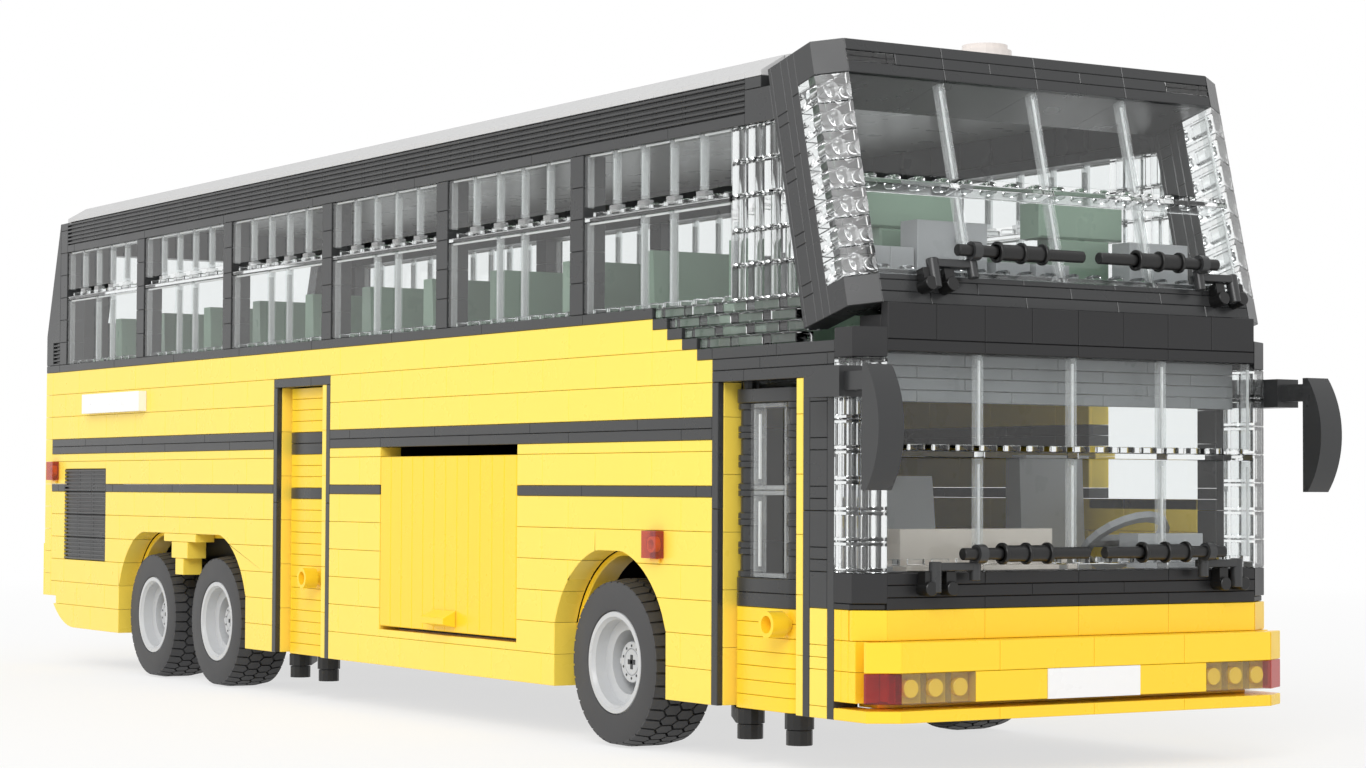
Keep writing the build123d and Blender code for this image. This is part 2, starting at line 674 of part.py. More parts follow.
def lean_block(y, rise, depth, mode=Mode.ADD):
    """Block on the leaning front, between two Y values, two heights up the slope and two depths."""
    with BuildSketch(lean_plane.offset(-depth[1]), mode=Mode.PRIVATE) as face:
        with Locations(((y[0] + y[1]) / 2, (rise[0] + rise[1]) / 2)):
            Rectangle(abs(y[1] - y[0]), rise[1] - rise[0])
    extrude(face.sketch, amount=depth[1] - depth[0], mode=mode)


def lean_corner(side, rise):
    """Corner piece of the leaning front with its sloping outer face."""
    foot = lean_plane.from_local_coords((0, rise[0], 0))
    with BuildSketch(Plane(foot, (0, 1, 0), lean_plane.y_dir), mode=Mode.PRIVATE) as face:
        Polygon(
            (side * INNER, 0),
            (side * HALF_WIDTH, SLOPE_RUN),
            (side * HALF_WIDTH, UPPER_DEPTH),
            (side * INNER, UPPER_DEPTH),
            align=None,
        )
    extrude(face.sketch, amount=rise[1] - rise[0])


with BuildPart() as upper_frame:
    lean_block((-INNER, INNER), (0, UPPER_SILL), (0, UPPER_DEPTH))
    lean_block((-INNER, INNER), RISE_TOP, (0, 2 * UPPER_DEPTH))
    groove = (RISE_TOP[0] + PLATE - CLEARANCE, RISE_TOP[0] + PLATE)
    lean_block((-INNER, INNER), groove, (0, SKIN), Mode.SUBTRACT)
    for side, name in SIDES:
        lean_corner(side, (0, UPPER_SILL))
        lean_corner(side, RISE_TOP)
        lean_block((side * INNER, side * HALF_WIDTH), (0, RISE_TOP[1]), (UPPER_DEPTH, 2 * UPPER_DEPTH))
save(upper_frame.part, "upper_front_frame")

# Clear stacked bricks at the four front corners
SEAM = 0.05 * PITCH
with BuildPart() as clear_corners:
    for side, name in SIDES:
        with BuildSketch(Plane.XY.offset(level(SILL[1]))):
            Polygon(
                (BACK_X, side * INNER),
                (FRONT_X, side * INNER),
                (FRONT_X - SLOPE_RUN, side * HALF_WIDTH),
                (BACK_X, side * HALF_WIDTH),
                align=None,
            )
        extrude(amount=CORNER_TOP - level(SILL[1]))
        lean_corner(side, RISE_GLASS)
save(clear_corners.part, "clear_corners")

# Lower and upper windscreens, and the rear window: panes with a shelf and ribs where they meet
SHELF = (21, 22)
UPPER_SHELF = 0.52
PANE_RIBS = (-4 * PITCH, 0, 4 * PITCH)
PANE = (FRONT_X - 0.75 * PITCH, FRONT_X - 0.25 * PITCH)
with BuildPart() as windscreens:
    slab(PANE, (-INNER, INNER), (level(SILL[1]), level(HEADER[0])))
    slab((PANE[0], FRONT_X), (-INNER, INNER), (level(SHELF[0]), level(SHELF[1])))
    slab((PANE[0], FRONT_X), (-INNER, INNER), (level(SILL[1]), level(SILL[1] + 1)))
    for y in PANE_RIBS:
        slab((PANE[0], FRONT_X), (y - SEAM, y + SEAM), (level(SILL[1]), level(HEADER[0])))
    depth = (0.25 * PITCH, 0.75 * PITCH)
    shelf = RISE_GLASS[0] + UPPER_SHELF * UPPER_GLASS
    lean_block((-INNER, INNER), RISE_GLASS, depth)
    lean_block((-INNER, INNER), (shelf, shelf + PLATE), (0, depth[1]))
    for y in PANE_RIBS:
        lean_block((y - SEAM, y + SEAM), RISE_GLASS, (0, depth[1]))
    with BuildSketch(Plane.XZ.offset(-REAR_WINDOW_HALF)):
        low, high = REAR_WINDOW
        Polygon(
            (tail_x(low) + SKIN, level(low)),
            (tail_x(low) + SKIN + GLASS, level(low)),
            (tail_x(high) + SKIN + GLASS, level(high)),
            (tail_x(high) + SKIN, level(high)),
            align=None,
        )
    extrude(amount=2 * REAR_WINDOW_HALF)
save(windscreens.part, "windscreens")

# Wipers: a rod with a sleeve, held by two brackets
WIPER_LENGTH = 5.3 * PITCH
WIPER_RADIUS = 0.2 * PITCH
WIPER_REACH = 0.7 * PITCH
WIPERS_Y = (-5.5 * PITCH, 0.5 * PITCH)
UPPER_WIPER = (UPPER_SILL - WIPER_RADIUS, 1.7 * PITCH)


def wiper(x, z, foot_x, foot_z, y):
    """One wiper at a point, with the bracket down to its foot."""
    rod(x, z, WIPER_RADIUS, y, y + WIPER_LENGTH)
    rod(x, z, 1.5 * WIPER_RADIUS, y + 0.35 * WIPER_LENGTH, y + 0.65 * WIPER_LENGTH)
    for end in (0.1, 0.9):
        middle = y + end * WIPER_LENGTH
        with BuildSketch(Plane.XZ.offset(-middle - WIPER_RADIUS), mode=Mode.PRIVATE) as arm:
            Polygon(
                (foot_x, foot_z),
                (foot_x, foot_z + PLATE),
                (x - WIPER_RADIUS, z),
                (x, z + WIPER_RADIUS),
                (x + WIPER_RADIUS, z),
                (x + WIPER_RADIUS, z - PLATE / 2),
                align=None,
            )
        extrude(arm.sketch, amount=2 * WIPER_RADIUS)


with BuildPart() as wipers:
    for y in WIPERS_Y:
        wiper(FRONT_X + WIPER_REACH, level(SILL[1] + 1.4), FRONT_X, level(SILL[1] - 1.2), y)
        foot = lean_plane.from_local_coords((0, UPPER_WIPER[0] - PLATE, 0))
        bar = lean_plane.from_local_coords((0, UPPER_WIPER[1], WIPER_REACH))
        wiper(bar.X, bar.Z, foot.X, foot.Z, y + WIPER_RADIUS)
save(wipers.part, "wipers")

# Mirrors: arm, neck and a shell with a bulging front
MIRROR_TOP = level(28.7)
MIRROR_HEIGHT = 4 * PITCH
MIRROR_BACK = FRONT_X + MIRROR_REACH - 0.9 * PITCH
with BuildPart() as mirrors:
    for side, name in SIDES:
        y = (side * HALF_WIDTH, side * (HALF_WIDTH + PITCH))
        slab((at(FRONT_STUD - 1.9), at(FRONT_STUD + 0.1)), y, (MIRROR_TOP - PITCH, MIRROR_TOP))
        neck = (side * (HALF_WIDTH + 0.2 * PITCH), side * (HALF_WIDTH + 0.8 * PITCH))
        slab((at(FRONT_STUD + 0.1), MIRROR_BACK), neck, (MIRROR_TOP - 0.8 * PITCH, MIRROR_TOP - 0.2 * PITCH))
        with BuildSketch(Plane.XZ.offset(-max(y))):
            with BuildLine():
                low = MIRROR_TOP - MIRROR_HEIGHT
                lip = MIRROR_BACK + 0.225 * PITCH
                bulge = (FRONT_X + MIRROR_REACH, MIRROR_TOP - MIRROR_HEIGHT / 2)
                Polyline((lip, low), (MIRROR_BACK, low), (MIRROR_BACK, MIRROR_TOP), (lip, MIRROR_TOP))
                ThreePointArc((lip, MIRROR_TOP), bulge, (lip, low))
            make_face()
        extrude(amount=PITCH)
save(mirrors.part, "mirrors")

# Seats of the upper deck, in pairs on both sides of the aisle
SEAT_ROWS = range(4, WALL_END, 6)
SEAT_PAIR = (2 * PITCH, 7 * PITCH)
with BuildPart() as seats:
    for side, name in SIDES:
        y = sorted((side * SEAT_PAIR[0], side * SEAT_PAIR[1]))
        for stud in SEAT_ROWS:
            with BuildSketch(Plane.XZ.offset(-y[1])):
                Polygon(
                    (at(stud), level(DECK[1])),
                    (at(stud + 2.5), level(DECK[1])),
                    (at(stud + 3), level(DECK[1] + 2)),
                    (at(stud + 3), level(DECK[1] + 4)),
                    (at(stud + 1), level(DECK[1] + 4)),
                    (at(stud + 0.8), level(DECK[1] + 12)),
                    (at(stud), level(DECK[1] + 12)),
                    align=None,
                )
            extrude(amount=y[1] - y[0])
save(seats.part, "upper_seats")

# Driver's seat
DRIVER_Y = (4 * PITCH, 7 * PITCH)
with BuildPart() as driver_seat:
    with BuildSketch(Plane.XZ.offset(-DRIVER_Y[1])):
        Polygon(
            (at(WALL_END), FLOOR_TOP),
            (at(WALL_END + 2), FLOOR_TOP),
            (at(WALL_END + 3), level(9)),
            (at(WALL_END + 3), level(11)),
            (at(WALL_END + 1), level(11)),
            (at(WALL_END + 0.8), level(22)),
            (at(WALL_END), level(22)),
            align=None,
        )
    extrude(amount=DRIVER_Y[1] - DRIVER_Y[0])
save(driver_seat.part, "driver_seat")

# Dashboard with a sloping cowl, and the steering wheel on its column
WHEEL_HUB = (at(COLUMN - 1), sum(DRIVER_Y) / 2, level(SILL[1] + 2))
STEERING_RADIUS = 1.7 * PITCH
STEERING_TILT = radians(35)
with BuildPart() as dashboard:
    with BuildSketch(Plane.XZ.offset(-(INNER - PITCH))):
        Polygon(
            (at(COLUMN), FLOOR_TOP),
            (BACK_X, FLOOR_TOP),
            (BACK_X, level(SILL[1])),
            (at(COLUMN + 1), level(SILL[1])),
            (at(COLUMN), level(SILL[1] - 2)),
            align=None,
        )
    extrude(amount=2 * (INNER - PITCH))
    slab((at(COLUMN + 0.4), BACK_X), (DRIVER_Y[0], INNER - PITCH), (level(SILL[1]), level(SILL[1] + 3)))
    hub_plane = Plane(WHEEL_HUB, (0, 1, 0), (-sin(STEERING_TILT), 0, cos(STEERING_TILT)))
    with BuildSketch(hub_plane):
        RegularPolygon(STEERING_RADIUS, RIM_FLATS)
        RegularPolygon(0.8 * STEERING_RADIUS, RIM_FLATS, mode=Mode.SUBTRACT)
        Rectangle(1.8 * STEERING_RADIUS, 0.25 * STEERING_RADIUS)
    extrude(amount=PITCH / 4)
    peg(hub_plane, AXLE_RADIUS, -2.4 * PITCH)
save(dashboard.part, "dashboard")


def beam_rows(door, low, high):
    """Thin beams with round ends, stacked between two row lines on the two axles of a door."""
    hinge, free = [(at(door + stud), DOOR_Y) for stud in DOOR_AXLES]
    with BuildSketch(Plane.XY.offset(DOOR_FOOT + low * ROW), mode=Mode.PRIVATE) as plan:
        round_bar(hinge, free, PITCH)
    extrude(plan.sketch, amount=(high - low) * ROW)


def door_knob(door, low):
    """Round hollow knob at the free edge of a door, two rows high."""
    x = at(door + DOOR_AXLES[1])
    z = DOOR_FOOT + (low + 1) * ROW
    face = DOOR_Y - PITCH / 2
    rod(x, z, 0.3 * PITCH, face - PITCH / 4, face)
    rod(x, z, 0.45 * PITCH, face - 0.875 * PITCH, face - PITCH / 4)
    rod(x, z, 0.3 * PITCH, face - 0.875 * PITCH, face - 0.5 * PITCH, Mode.SUBTRACT)


# Rows of the doors from the foot up, in thin beams
FRONT_ROWS_YELLOW = (0, 7)
FRONT_ROWS_DARK = ((7, 9), (21, 22))
FRONT_ROWS_GLASS = (9, 21)
REAR_ROWS_YELLOW = ((0, 14), (15, 18), (20, 24))
REAR_ROWS_DARK = ((14, 15), (18, 20))

# Front door: yellow foot with a knob, dark rails, and a clear panel between two stacks of bushes
with BuildPart() as front_door:
    beam_rows(FRONT_DOOR, *FRONT_ROWS_YELLOW)
    door_knob(FRONT_DOOR, 5)
save(front_door.part, "front_door")

GLASS_Z = (DOOR_FOOT + FRONT_ROWS_GLASS[0] * ROW, DOOR_FOOT + FRONT_ROWS_GLASS[1] * ROW)
with BuildPart() as front_door_frame:
    for low, high in FRONT_ROWS_DARK:
        beam_rows(FRONT_DOOR, low, high)
    for stud in DOOR_AXLES:
        post((at(FRONT_DOOR + stud), DOOR_Y), 0.42 * PITCH, *GLASS_Z)
save(front_door_frame.part, "front_door_frame")

with BuildPart() as front_door_glass:
    x = (at(FRONT_DOOR + 1.5), at(FRONT_DOOR + 3.5))
    slab(x, (DOOR_Y - 0.375 * PITCH, DOOR_Y + 0.125 * PITCH), GLASS_Z)
    middle = (GLASS_Z[0] + GLASS_Z[1]) / 2
    slab(x, (DOOR_Y - 0.375 * PITCH, DOOR_Y + 0.375 * PITCH), (middle - PLATE / 2, middle + PLATE / 2))
save(front_door_glass.part, "front_door_glass")

# Rear door: yellow rows with dark bands
with BuildPart() as rear_door:
    for low, high in REAR_ROWS_YELLOW:
        beam_rows(REAR_DOOR, low, high)
    door_knob(REAR_DOOR, 6)
save(rear_door.part, "rear_door")

with BuildPart() as rear_door_bands:
    for low, high in REAR_ROWS_DARK:
        beam_rows(REAR_DOOR, low, high)
save(rear_door_bands.part, "rear_door_bands")

# Ends of the door axles: a pin above and a bushed foot below
for door, name, top, rows in (
    (FRONT_DOOR, "front", FRONT_DOOR_TOP, FRONT_ROWS_DARK[-1][1]),
    (REAR_DOOR, "rear", REAR_DOOR_TOP, REAR_ROWS_YELLOW[-1][1]),
):
    with BuildPart() as door_axles:
        hinge = (at(door + DOOR_AXLES[0]), DOOR_Y)
        free = (at(door + DOOR_AXLES[1]), DOOR_Y)
        post(hinge, AXLE_RADIUS, DOOR_FOOT + rows * ROW, level(top + 0.75))
        bush_top = BRACKET_TOP - ROW - CLEARANCE
        for centre in (hinge, free):
            post(centre, AXLE_RADIUS, bush_top - ROW, DOOR_FOOT)
            post(centre, 0.45 * PITCH, bush_top - ROW, bush_top)
        post(free, PITCH / 2, BRACKET_TOP - ROW, DOOR_FOOT)
    save(door_axles.part, f"{name}_door_axles")

# Luggage hatches of upright planks, hinged along their upper edge
HATCH_GAP = 0.05 * PITCH
HANDLE = (45, 47)
for side, name in SIDES:
    low = level(HATCH_LEVELS[0]) + HATCH_GAP
    high = level(HATCH_LEVELS[1])
    face = side * HALF_WIDTH
    with BuildPart() as hatch:
        x = (at(HATCH[0]) + HATCH_GAP, at(HATCH[1]) - HATCH_GAP)
        slab(x, (face, side * (INNER + CLEARANCE)), (low, high))
        with BuildSketch(Plane.YZ.offset(at(HANDLE[0]))):
            Polygon(
                (face, low + 0.2 * PITCH),
                (face + side * 0.6 * PITCH, low + 0.35 * PITCH),
                (face + side * 0.6 * PITCH, low + 0.6 * PITCH),
                (face, low + 0.9 * PITCH),
                align=None,
            )
        extrude(amount=(HANDLE[1] - HANDLE[0]) * PITCH)
    save(hatch.part, f"{name}_hatch")

# Wheels. Depths are measured inwards from the tyre's outer face
RIM_RADIUS = 0.614 * WHEEL_RADIUS
HUB_RADIUS = 1.35 * AXLE_RADIUS
BOSS_RADIUS = 0.28 * WHEEL_RADIUS
BOSS_FACE = 0.45 * TYRE_WIDTH
RIM_LIP = 0.03 * TYRE_WIDTH
SHOULDER = 0.08 * WHEEL_RADIUS
# Steps of the rim's dish: radius, and where the step starts and ends
DISH_STEPS = (
    (0.51 * WHEEL_RADIUS, RIM_LIP, 0.36 * TYRE_WIDTH),
    (0.43 * WHEEL_RADIUS, 0.36 * TYRE_WIDTH, 0.62 * TYRE_WIDTH),
)


def wheel_face(x, side, radius, depth, flats):
    """Many-sided round face about a wheel's axis, looking inwards."""
    plane = Plane((x, side * (TYRE_FACE - depth), AXLE_Z), (1, 0, 0), (0, -side, 0))
    with BuildSketch(plane, mode=Mode.PRIVATE) as face:
        RegularPolygon(radius, flats, major_radius=False, rotation=180 / flats)
    return face.sketch


def disc(x, side, radius, depth, flats, mode=Mode.ADD):
    """Round disc about a wheel's axis, between two depths."""
    extrude(wheel_face(x, side, radius, depth[0], flats), amount=depth[1] - depth[0], mode=mode)


def tyre(x, side):
    """Tyre with bevelled shoulders."""
    disc(x, side, WHEEL_RADIUS, (SHOULDER, TYRE_WIDTH - SHOULDER), TYRE_FLATS)
    for edge, inner in ((0, SHOULDER), (TYRE_WIDTH, TYRE_WIDTH - SHOULDER)):
        wall = wheel_face(x, side, WHEEL_RADIUS - SHOULDER, edge, TYRE_FLATS)
        tread = wheel_face(x, side, WHEEL_RADIUS, inner, TYRE_FLATS)
        loft((wall, tread), ruled=True)
    disc(x, side, RIM_RADIUS, (0, TYRE_WIDTH), RIM_FLATS, Mode.SUBTRACT)


def dished_rim(x, side):
    """Deep stepped rim with a hub boss on its floor."""
    disc(x, side, RIM_RADIUS, (RIM_LIP, TYRE_WIDTH - RIM_LIP), RIM_FLATS)
    for radius, start, end in DISH_STEPS:
        disc(x, side, radius, (start, end), RIM_FLATS, Mode.SUBTRACT)
    disc(x, side, BOSS_RADIUS, (BOSS_FACE, TYRE_WIDTH - RIM_LIP), SMALL_FLATS)


STEER_ARM = 1.75 * PITCH
FORK = 0.325 * PITCH
FORK_TOP = (BEAM_Z[1] + CLEARANCE, BEAM_Z[1] + CLEARANCE + FORK)
FORK_FOOT = (BEAM_Z[0] - CLEARANCE - FORK, BEAM_Z[0] - CLEARANCE)
LINK_Z = (FORK_FOOT[0] - CLEARANCE - FORK, FORK_FOOT[0] - CLEARANCE)
LINK_PIN = 0.2 * PITCH
for side, name in SIDES:
    with BuildPart() as front_tyre:
        tyre(FRONT_AXLE_X, side)
    save(front_tyre.part, f"front_{name}_tyre")
    with BuildPart() as rim:
        dished_rim(FRONT_AXLE_X, side)
        rod(FRONT_AXLE_X, AXLE_Z, HUB_RADIUS, side * TYRE_BACK, side * TYRE_FACE, Mode.SUBTRACT)
    save(rim.part, f"front_{name}_rim")
    with BuildPart() as knuckle:
        pin = (FRONT_AXLE_X, side * KINGPIN_Y)
        web = (side * (KINGPIN_Y + 0.625 * PITCH), side * (TYRE_BACK - PITCH / 2))
        x = (pin[0] - PITCH / 2, pin[0] + PITCH / 2)
        post(pin, AXLE_RADIUS, FORK_FOOT[0], FORK_TOP[1])
        for z in (FORK_TOP, FORK_FOOT):
            post(pin, PITCH / 2, *z)
            slab(x, (pin[1], web[1]), z)
        slab(x, web, (FORK_FOOT[0], FORK_TOP[1]))
        rod(pin[0], AXLE_Z, HUB_RADIUS - RUN_GAP, web[1], side * (TYRE_FACE - 0.5 * TYRE_WIDTH))
        arm = (pin[0] - STEER_ARM, pin[1])
        slab((arm[0], pin[0]), (pin[1] - 0.375 * PITCH, pin[1] + 0.375 * PITCH), FORK_FOOT)
        post(arm, 0.375 * PITCH, *FORK_FOOT)
        post(arm, LINK_PIN, LINK_Z[0], FORK_FOOT[0])
    save(knuckle.part, f"front_{name}_knuckle")

# Track rod between the steering arms
with BuildPart() as track_rod:
    x = FRONT_AXLE_X - STEER_ARM
    slab((x - 0.3 * PITCH, x + 0.3 * PITCH), (-KINGPIN_Y, KINGPIN_Y), LINK_Z)
    for side, name in SIDES:
        post((x, side * KINGPIN_Y), 0.375 * PITCH, *LINK_Z)
        post((x, side * KINGPIN_Y), LINK_PIN + RUN_GAP, 0, LINK_Z[1] + PLATE, Mode.SUBTRACT)
save(track_rod.part, "track_rod")

# Rear wheelsets: both rims on one through axle
for x, name in zip(REAR_AXLE_X, ("rear", "middle")):
    with BuildPart() as tyres:
        for side, hand in SIDES:
            tyre(x, side)
    save(tyres.part, f"{name}_tyres")
    with BuildPart() as wheelset:
        cross_rod(x, AXLE_Z, AXLE_RADIUS, -TYRE_BACK - RIM_LIP, TYRE_BACK + RIM_LIP)
        for side, hand in SIDES:
            dished_rim(x, side)
    save(wheelset.part, f"{name}_wheelset")
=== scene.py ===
from itertools import pairwise
from math import cos, pi, radians, sin, sqrt, tan

import bmesh
import bpy
from mathutils import Matrix, Vector


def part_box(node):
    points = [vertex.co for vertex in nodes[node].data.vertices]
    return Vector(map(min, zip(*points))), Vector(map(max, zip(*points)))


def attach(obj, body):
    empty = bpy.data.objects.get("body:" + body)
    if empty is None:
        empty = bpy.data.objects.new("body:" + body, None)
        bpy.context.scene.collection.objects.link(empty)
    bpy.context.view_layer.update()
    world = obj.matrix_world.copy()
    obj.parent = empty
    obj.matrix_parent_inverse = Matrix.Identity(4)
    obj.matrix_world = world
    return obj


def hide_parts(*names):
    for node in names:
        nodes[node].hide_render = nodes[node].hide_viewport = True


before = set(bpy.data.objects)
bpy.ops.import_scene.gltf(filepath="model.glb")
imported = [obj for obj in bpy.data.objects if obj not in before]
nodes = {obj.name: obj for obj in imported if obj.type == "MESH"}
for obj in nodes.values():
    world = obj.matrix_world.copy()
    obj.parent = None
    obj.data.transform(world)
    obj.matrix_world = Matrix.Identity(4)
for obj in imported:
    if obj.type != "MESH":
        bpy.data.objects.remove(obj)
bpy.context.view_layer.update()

# Grid of the toy, in metres
MM = 0.001
PITCH = 8 * MM
PLATE = 0.4 * PITCH
STUD_RADIUS = 0.3 * PITCH
STUD_RISE = 0.2 * PITCH
# Gap at a piece's edge, cut of that edge, and the angle from which an edge is drawn sharp
SEAM = 0.06 * MM
EDGE = 0.16 * MM
SHARP = radians(32)
BODY = "coach"
RIGHT = -1
LEFT = 1
HANDS = (RIGHT, LEFT)
SIDES = ((RIGHT, "right"), (LEFT, "left"))

# Places taken from the frame
X_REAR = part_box("stripes")[0].x
WALL_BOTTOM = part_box("right_skirt")[0].z
HALF_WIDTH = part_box("stripes")[1].y
INNER = HALF_WIDTH - PITCH
FRONT_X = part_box("front_sill")[1].x
BACK_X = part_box("front_sill")[0].x
BUMPER_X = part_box("front_bumper")[1].x
TYRE_LOW, TYRE_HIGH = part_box("front_right_tyre")
WHEEL_RADIUS = (TYRE_HIGH.z - TYRE_LOW.z) / 2
AXLE_Z = (TYRE_HIGH.z + TYRE_LOW.z) / 2
TYRE_FACE = -TYRE_LOW.y
TYRE_WIDTH = TYRE_HIGH.y - TYRE_LOW.y
SLOPE_RUN = 0.6 * PITCH


def at(stud):
    """X of a stud line, counted from the rear end of the side walls."""
    return X_REAR + stud * PITCH


def level(plates):
    """Z of a plate line, counted from the bottom edge of the side walls."""
    return WALL_BOTTOM + plates * PLATE


def span_x(first, last):
    """X values of two stud lines."""
    return (at(first), at(last))


def span_y(first, last):
    """Y values of two stud lines, counted from the middle."""
    return (first * PITCH, last * PITCH)


def span_z(low, high):
    """Z values of two plate lines."""
    return (level(low), level(high))


def skin(side, cut=0):
    """Y values of a side wall's inner and outer face, or of one that is cut back."""
    return (side * INNER, side * (HALF_WIDTH - cut))


def grid(*places):
    """Side outline from stud and plate lines."""
    return [(at(stud), level(plates)) for stud, plates in places]


def mid(pair):
    """Middle of two values."""
    return (pair[0] + pair[1]) / 2


class Heap:
    """Gathers many small solids into one mesh."""

    def __init__(self, place=None):
        self.points = []
        self.faces = []
        self.place = place or Matrix.Identity(4)

    def add(self, points, faces):
        """Add one solid, given in the heap's own axes."""
        start = len(self.points)
        self.points += [self.place @ Vector(point) for point in points]
        self.faces += [[start + index for index in face] for face in faces]

    def merge(self, other):
        """Take over the solids of another heap, where they are."""
        start = len(self.points)
        self.points += other.points
        self.faces += [[start + index for index in face] for face in other.faces]

    def prism(self, outline, axis, low, high, edge=EDGE, seam=SEAM):
        """Extrude an outline along an axis (0, 1 or 2), with its two faces' edges cut at an angle."""
        low, high = sorted((low, high))
        full = inset(outline, seam)
        small = inset(outline, seam + edge)
        rings = (
            (low + seam, small),
            (low + seam + edge, full),
            (high - seam - edge, full),
            (high - seam, small),
        )
        points = [spread(a, b, c, axis) for c, ring in rings for a, b in ring]
        count = len(outline)
        faces = [list(range(count)), list(range(3 * count, 4 * count))]
        for base in range(0, 3 * count, count):
            for i in range(count):
                j = (i + 1) % count
                faces.append([base + i, base + j, base + count + j, base + count + i])
        self.add(points, faces)

    def block(self, x, y, z, axis=1, edge=EDGE, seam=SEAM):
        """Box between pairs of X, Y and Z, with the edges of its faces along one axis cut."""
        ranges = [sorted(x), sorted(y), sorted(z)]
        low, high = ranges.pop(axis)
        (a0, a1), (b0, b1) = ranges
        self.prism([(a0, b0), (a1, b0), (a1, b1), (a0, b1)], axis, low, high, edge, seam)

    def brick(self, studs, y, levels, axis=1, edge=EDGE, seam=SEAM):
        """Box on the toy's grid, between pairs of stud lines, Y and plate lines."""
        self.block(span_x(*studs), y, span_z(*levels), axis, edge, seam)

    def round(self, centre, axis, radius, low, high, count=20, edge=EDGE):
        """Cylinder along an axis; the centre is given in the two other axes."""
        angles = [2 * pi * i / count for i in range(count)]
        outline = [(centre[0] + radius * cos(angle), centre[1] + radius * sin(angle)) for angle in angles]
        self.prism(outline, axis, low, high, edge, 0)

    def turn(self, section, centre, axis, count):
        """Turn a closed section of radius and place along an axis all the way round."""
        points, faces = [], []
        size = len(section)
        for i in range(count):
            angle = 2 * pi * i / count
            for radius, along in section:
                a, b = centre[0] + radius * cos(angle), centre[1] + radius * sin(angle)
                points.append(spread(a, b, along, axis))
            here, there = i * size, (i + 1) % count * size
            for k in range(size):
                n = (k + 1) % size
                faces.append([here + k, here + n, there + n, there + k])
        self.add(points, faces)

    def ring(self, centre, axis, outer, inner, low, high, count=20):
        """Tube along an axis."""
        self.turn([(inner, low), (outer, low), (outer, high), (inner, high)], centre, axis, count)

    def studs(self, spots, z):
        """Blank round studs on a flat top."""
        for spot in spots:
            self.round(spot, 2, STUD_RADIUS, z, z + STUD_RISE, 16)

    def build(self, name, material, *replaced, body=BODY):
        """Make the mesh, give it its material and let it ride on a body."""
        mesh = bpy.data.meshes.new(name)
        mesh.from_pydata([tuple(point) for point in self.points], [], self.faces)
        work = bmesh.new()
        work.from_mesh(mesh)
        bmesh.ops.recalc_face_normals(work, faces=work.faces)
        work.to_mesh(mesh)
        work.free()
        mesh.polygons.foreach_set("use_smooth", [True] * len(mesh.polygons))
        mesh.set_sharp_from_angle(angle=SHARP)
        mesh.materials.append(material)
        piece = bpy.data.objects.new(name, mesh)
        bpy.context.scene.collection.objects.link(piece)
        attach(piece, body)
        if replaced:
            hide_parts(*replaced)


def spread(a, b, c, axis):
    """Put two outline values and one along value back into X, Y, Z order."""
    if axis == 0:
        return (c, a, b)
    if axis == 1:
        return (a, c, b)
    return (a, b, c)


# Keeps the corner of a very sharp point from running far inwards
BLUNT = 0.12


def inset(outline, amount):
    """Move an outline's edges inwards."""
    if amount == 0:
        return list(outline)
    corners = [Vector(point) for point in outline]
    following = [*corners[1:], corners[0]]
    area = sum(here.x * there.y - there.x * here.y for here, there in zip(corners, following))
    turn = 1 if area > 0 else -1
    moved = []
    for i, (here, there) in enumerate(zip(corners, following)):
        before = here - corners[i - 1]
        after = there - here
        n1 = Vector((-before.y, before.x)).normalized() * turn
        n2 = Vector((-after.y, after.x)).normalized() * turn
        moved.append(tuple(here + (n1 + n2) * (amount / max(1 + n1.dot(n2), BLUNT))))
    return moved


def shade(tree, kind, inputs=None, output=0, operation=None):
    """Output of a new shader node, whose inputs are set to values or fed by other nodes."""
    node = tree.nodes.new(f"ShaderNode{kind}")
    if operation:
        node.operation = operation
    for socket, source in (inputs or {}).items():
        if isinstance(source, bpy.types.NodeSocket):
            tree.links.new(source, node.inputs[socket])
        else:
            node.inputs[socket].default_value = source
    return node.outputs[output]


def show(tree, kind, surface):
    """Join a shader to the output of a material or of the world."""
    tree.links.new(surface, tree.nodes.new(f"ShaderNodeOutput{kind}").inputs["Surface"])


def new_material(name):
    """Material with an empty node tree."""
    material = bpy.data.materials.new(name)
    material.use_nodes = True
    material.node_tree.nodes.clear()
    return material, material.node_tree


def plastic(name, colour, rough=0.28, speckle=0.0):
    """Moulded plastic: faint unevenness in shine and surface."""
    material, tree = new_material(name)
    place = shade(tree, "TexCoord", output="Object")
    noise = shade(tree, "TexNoise", {"Vector": place, "Scale": 90, "Detail": 3})
    dull = shade(tree, "MapRange", {"Value": noise, "To Min": rough - 0.06, "To Max": rough + 0.08})
    bump = shade(tree, "Bump", {"Strength": 0.03 + speckle, "Distance": 0.2 * MM, "Height": noise})
    surface = {"Base Color": (*colour, 1), "IOR": 1.46, "Roughness": dull, "Normal": bump}
    show(tree, "Material", shade(tree, "BsdfPrincipled", surface))
    return material


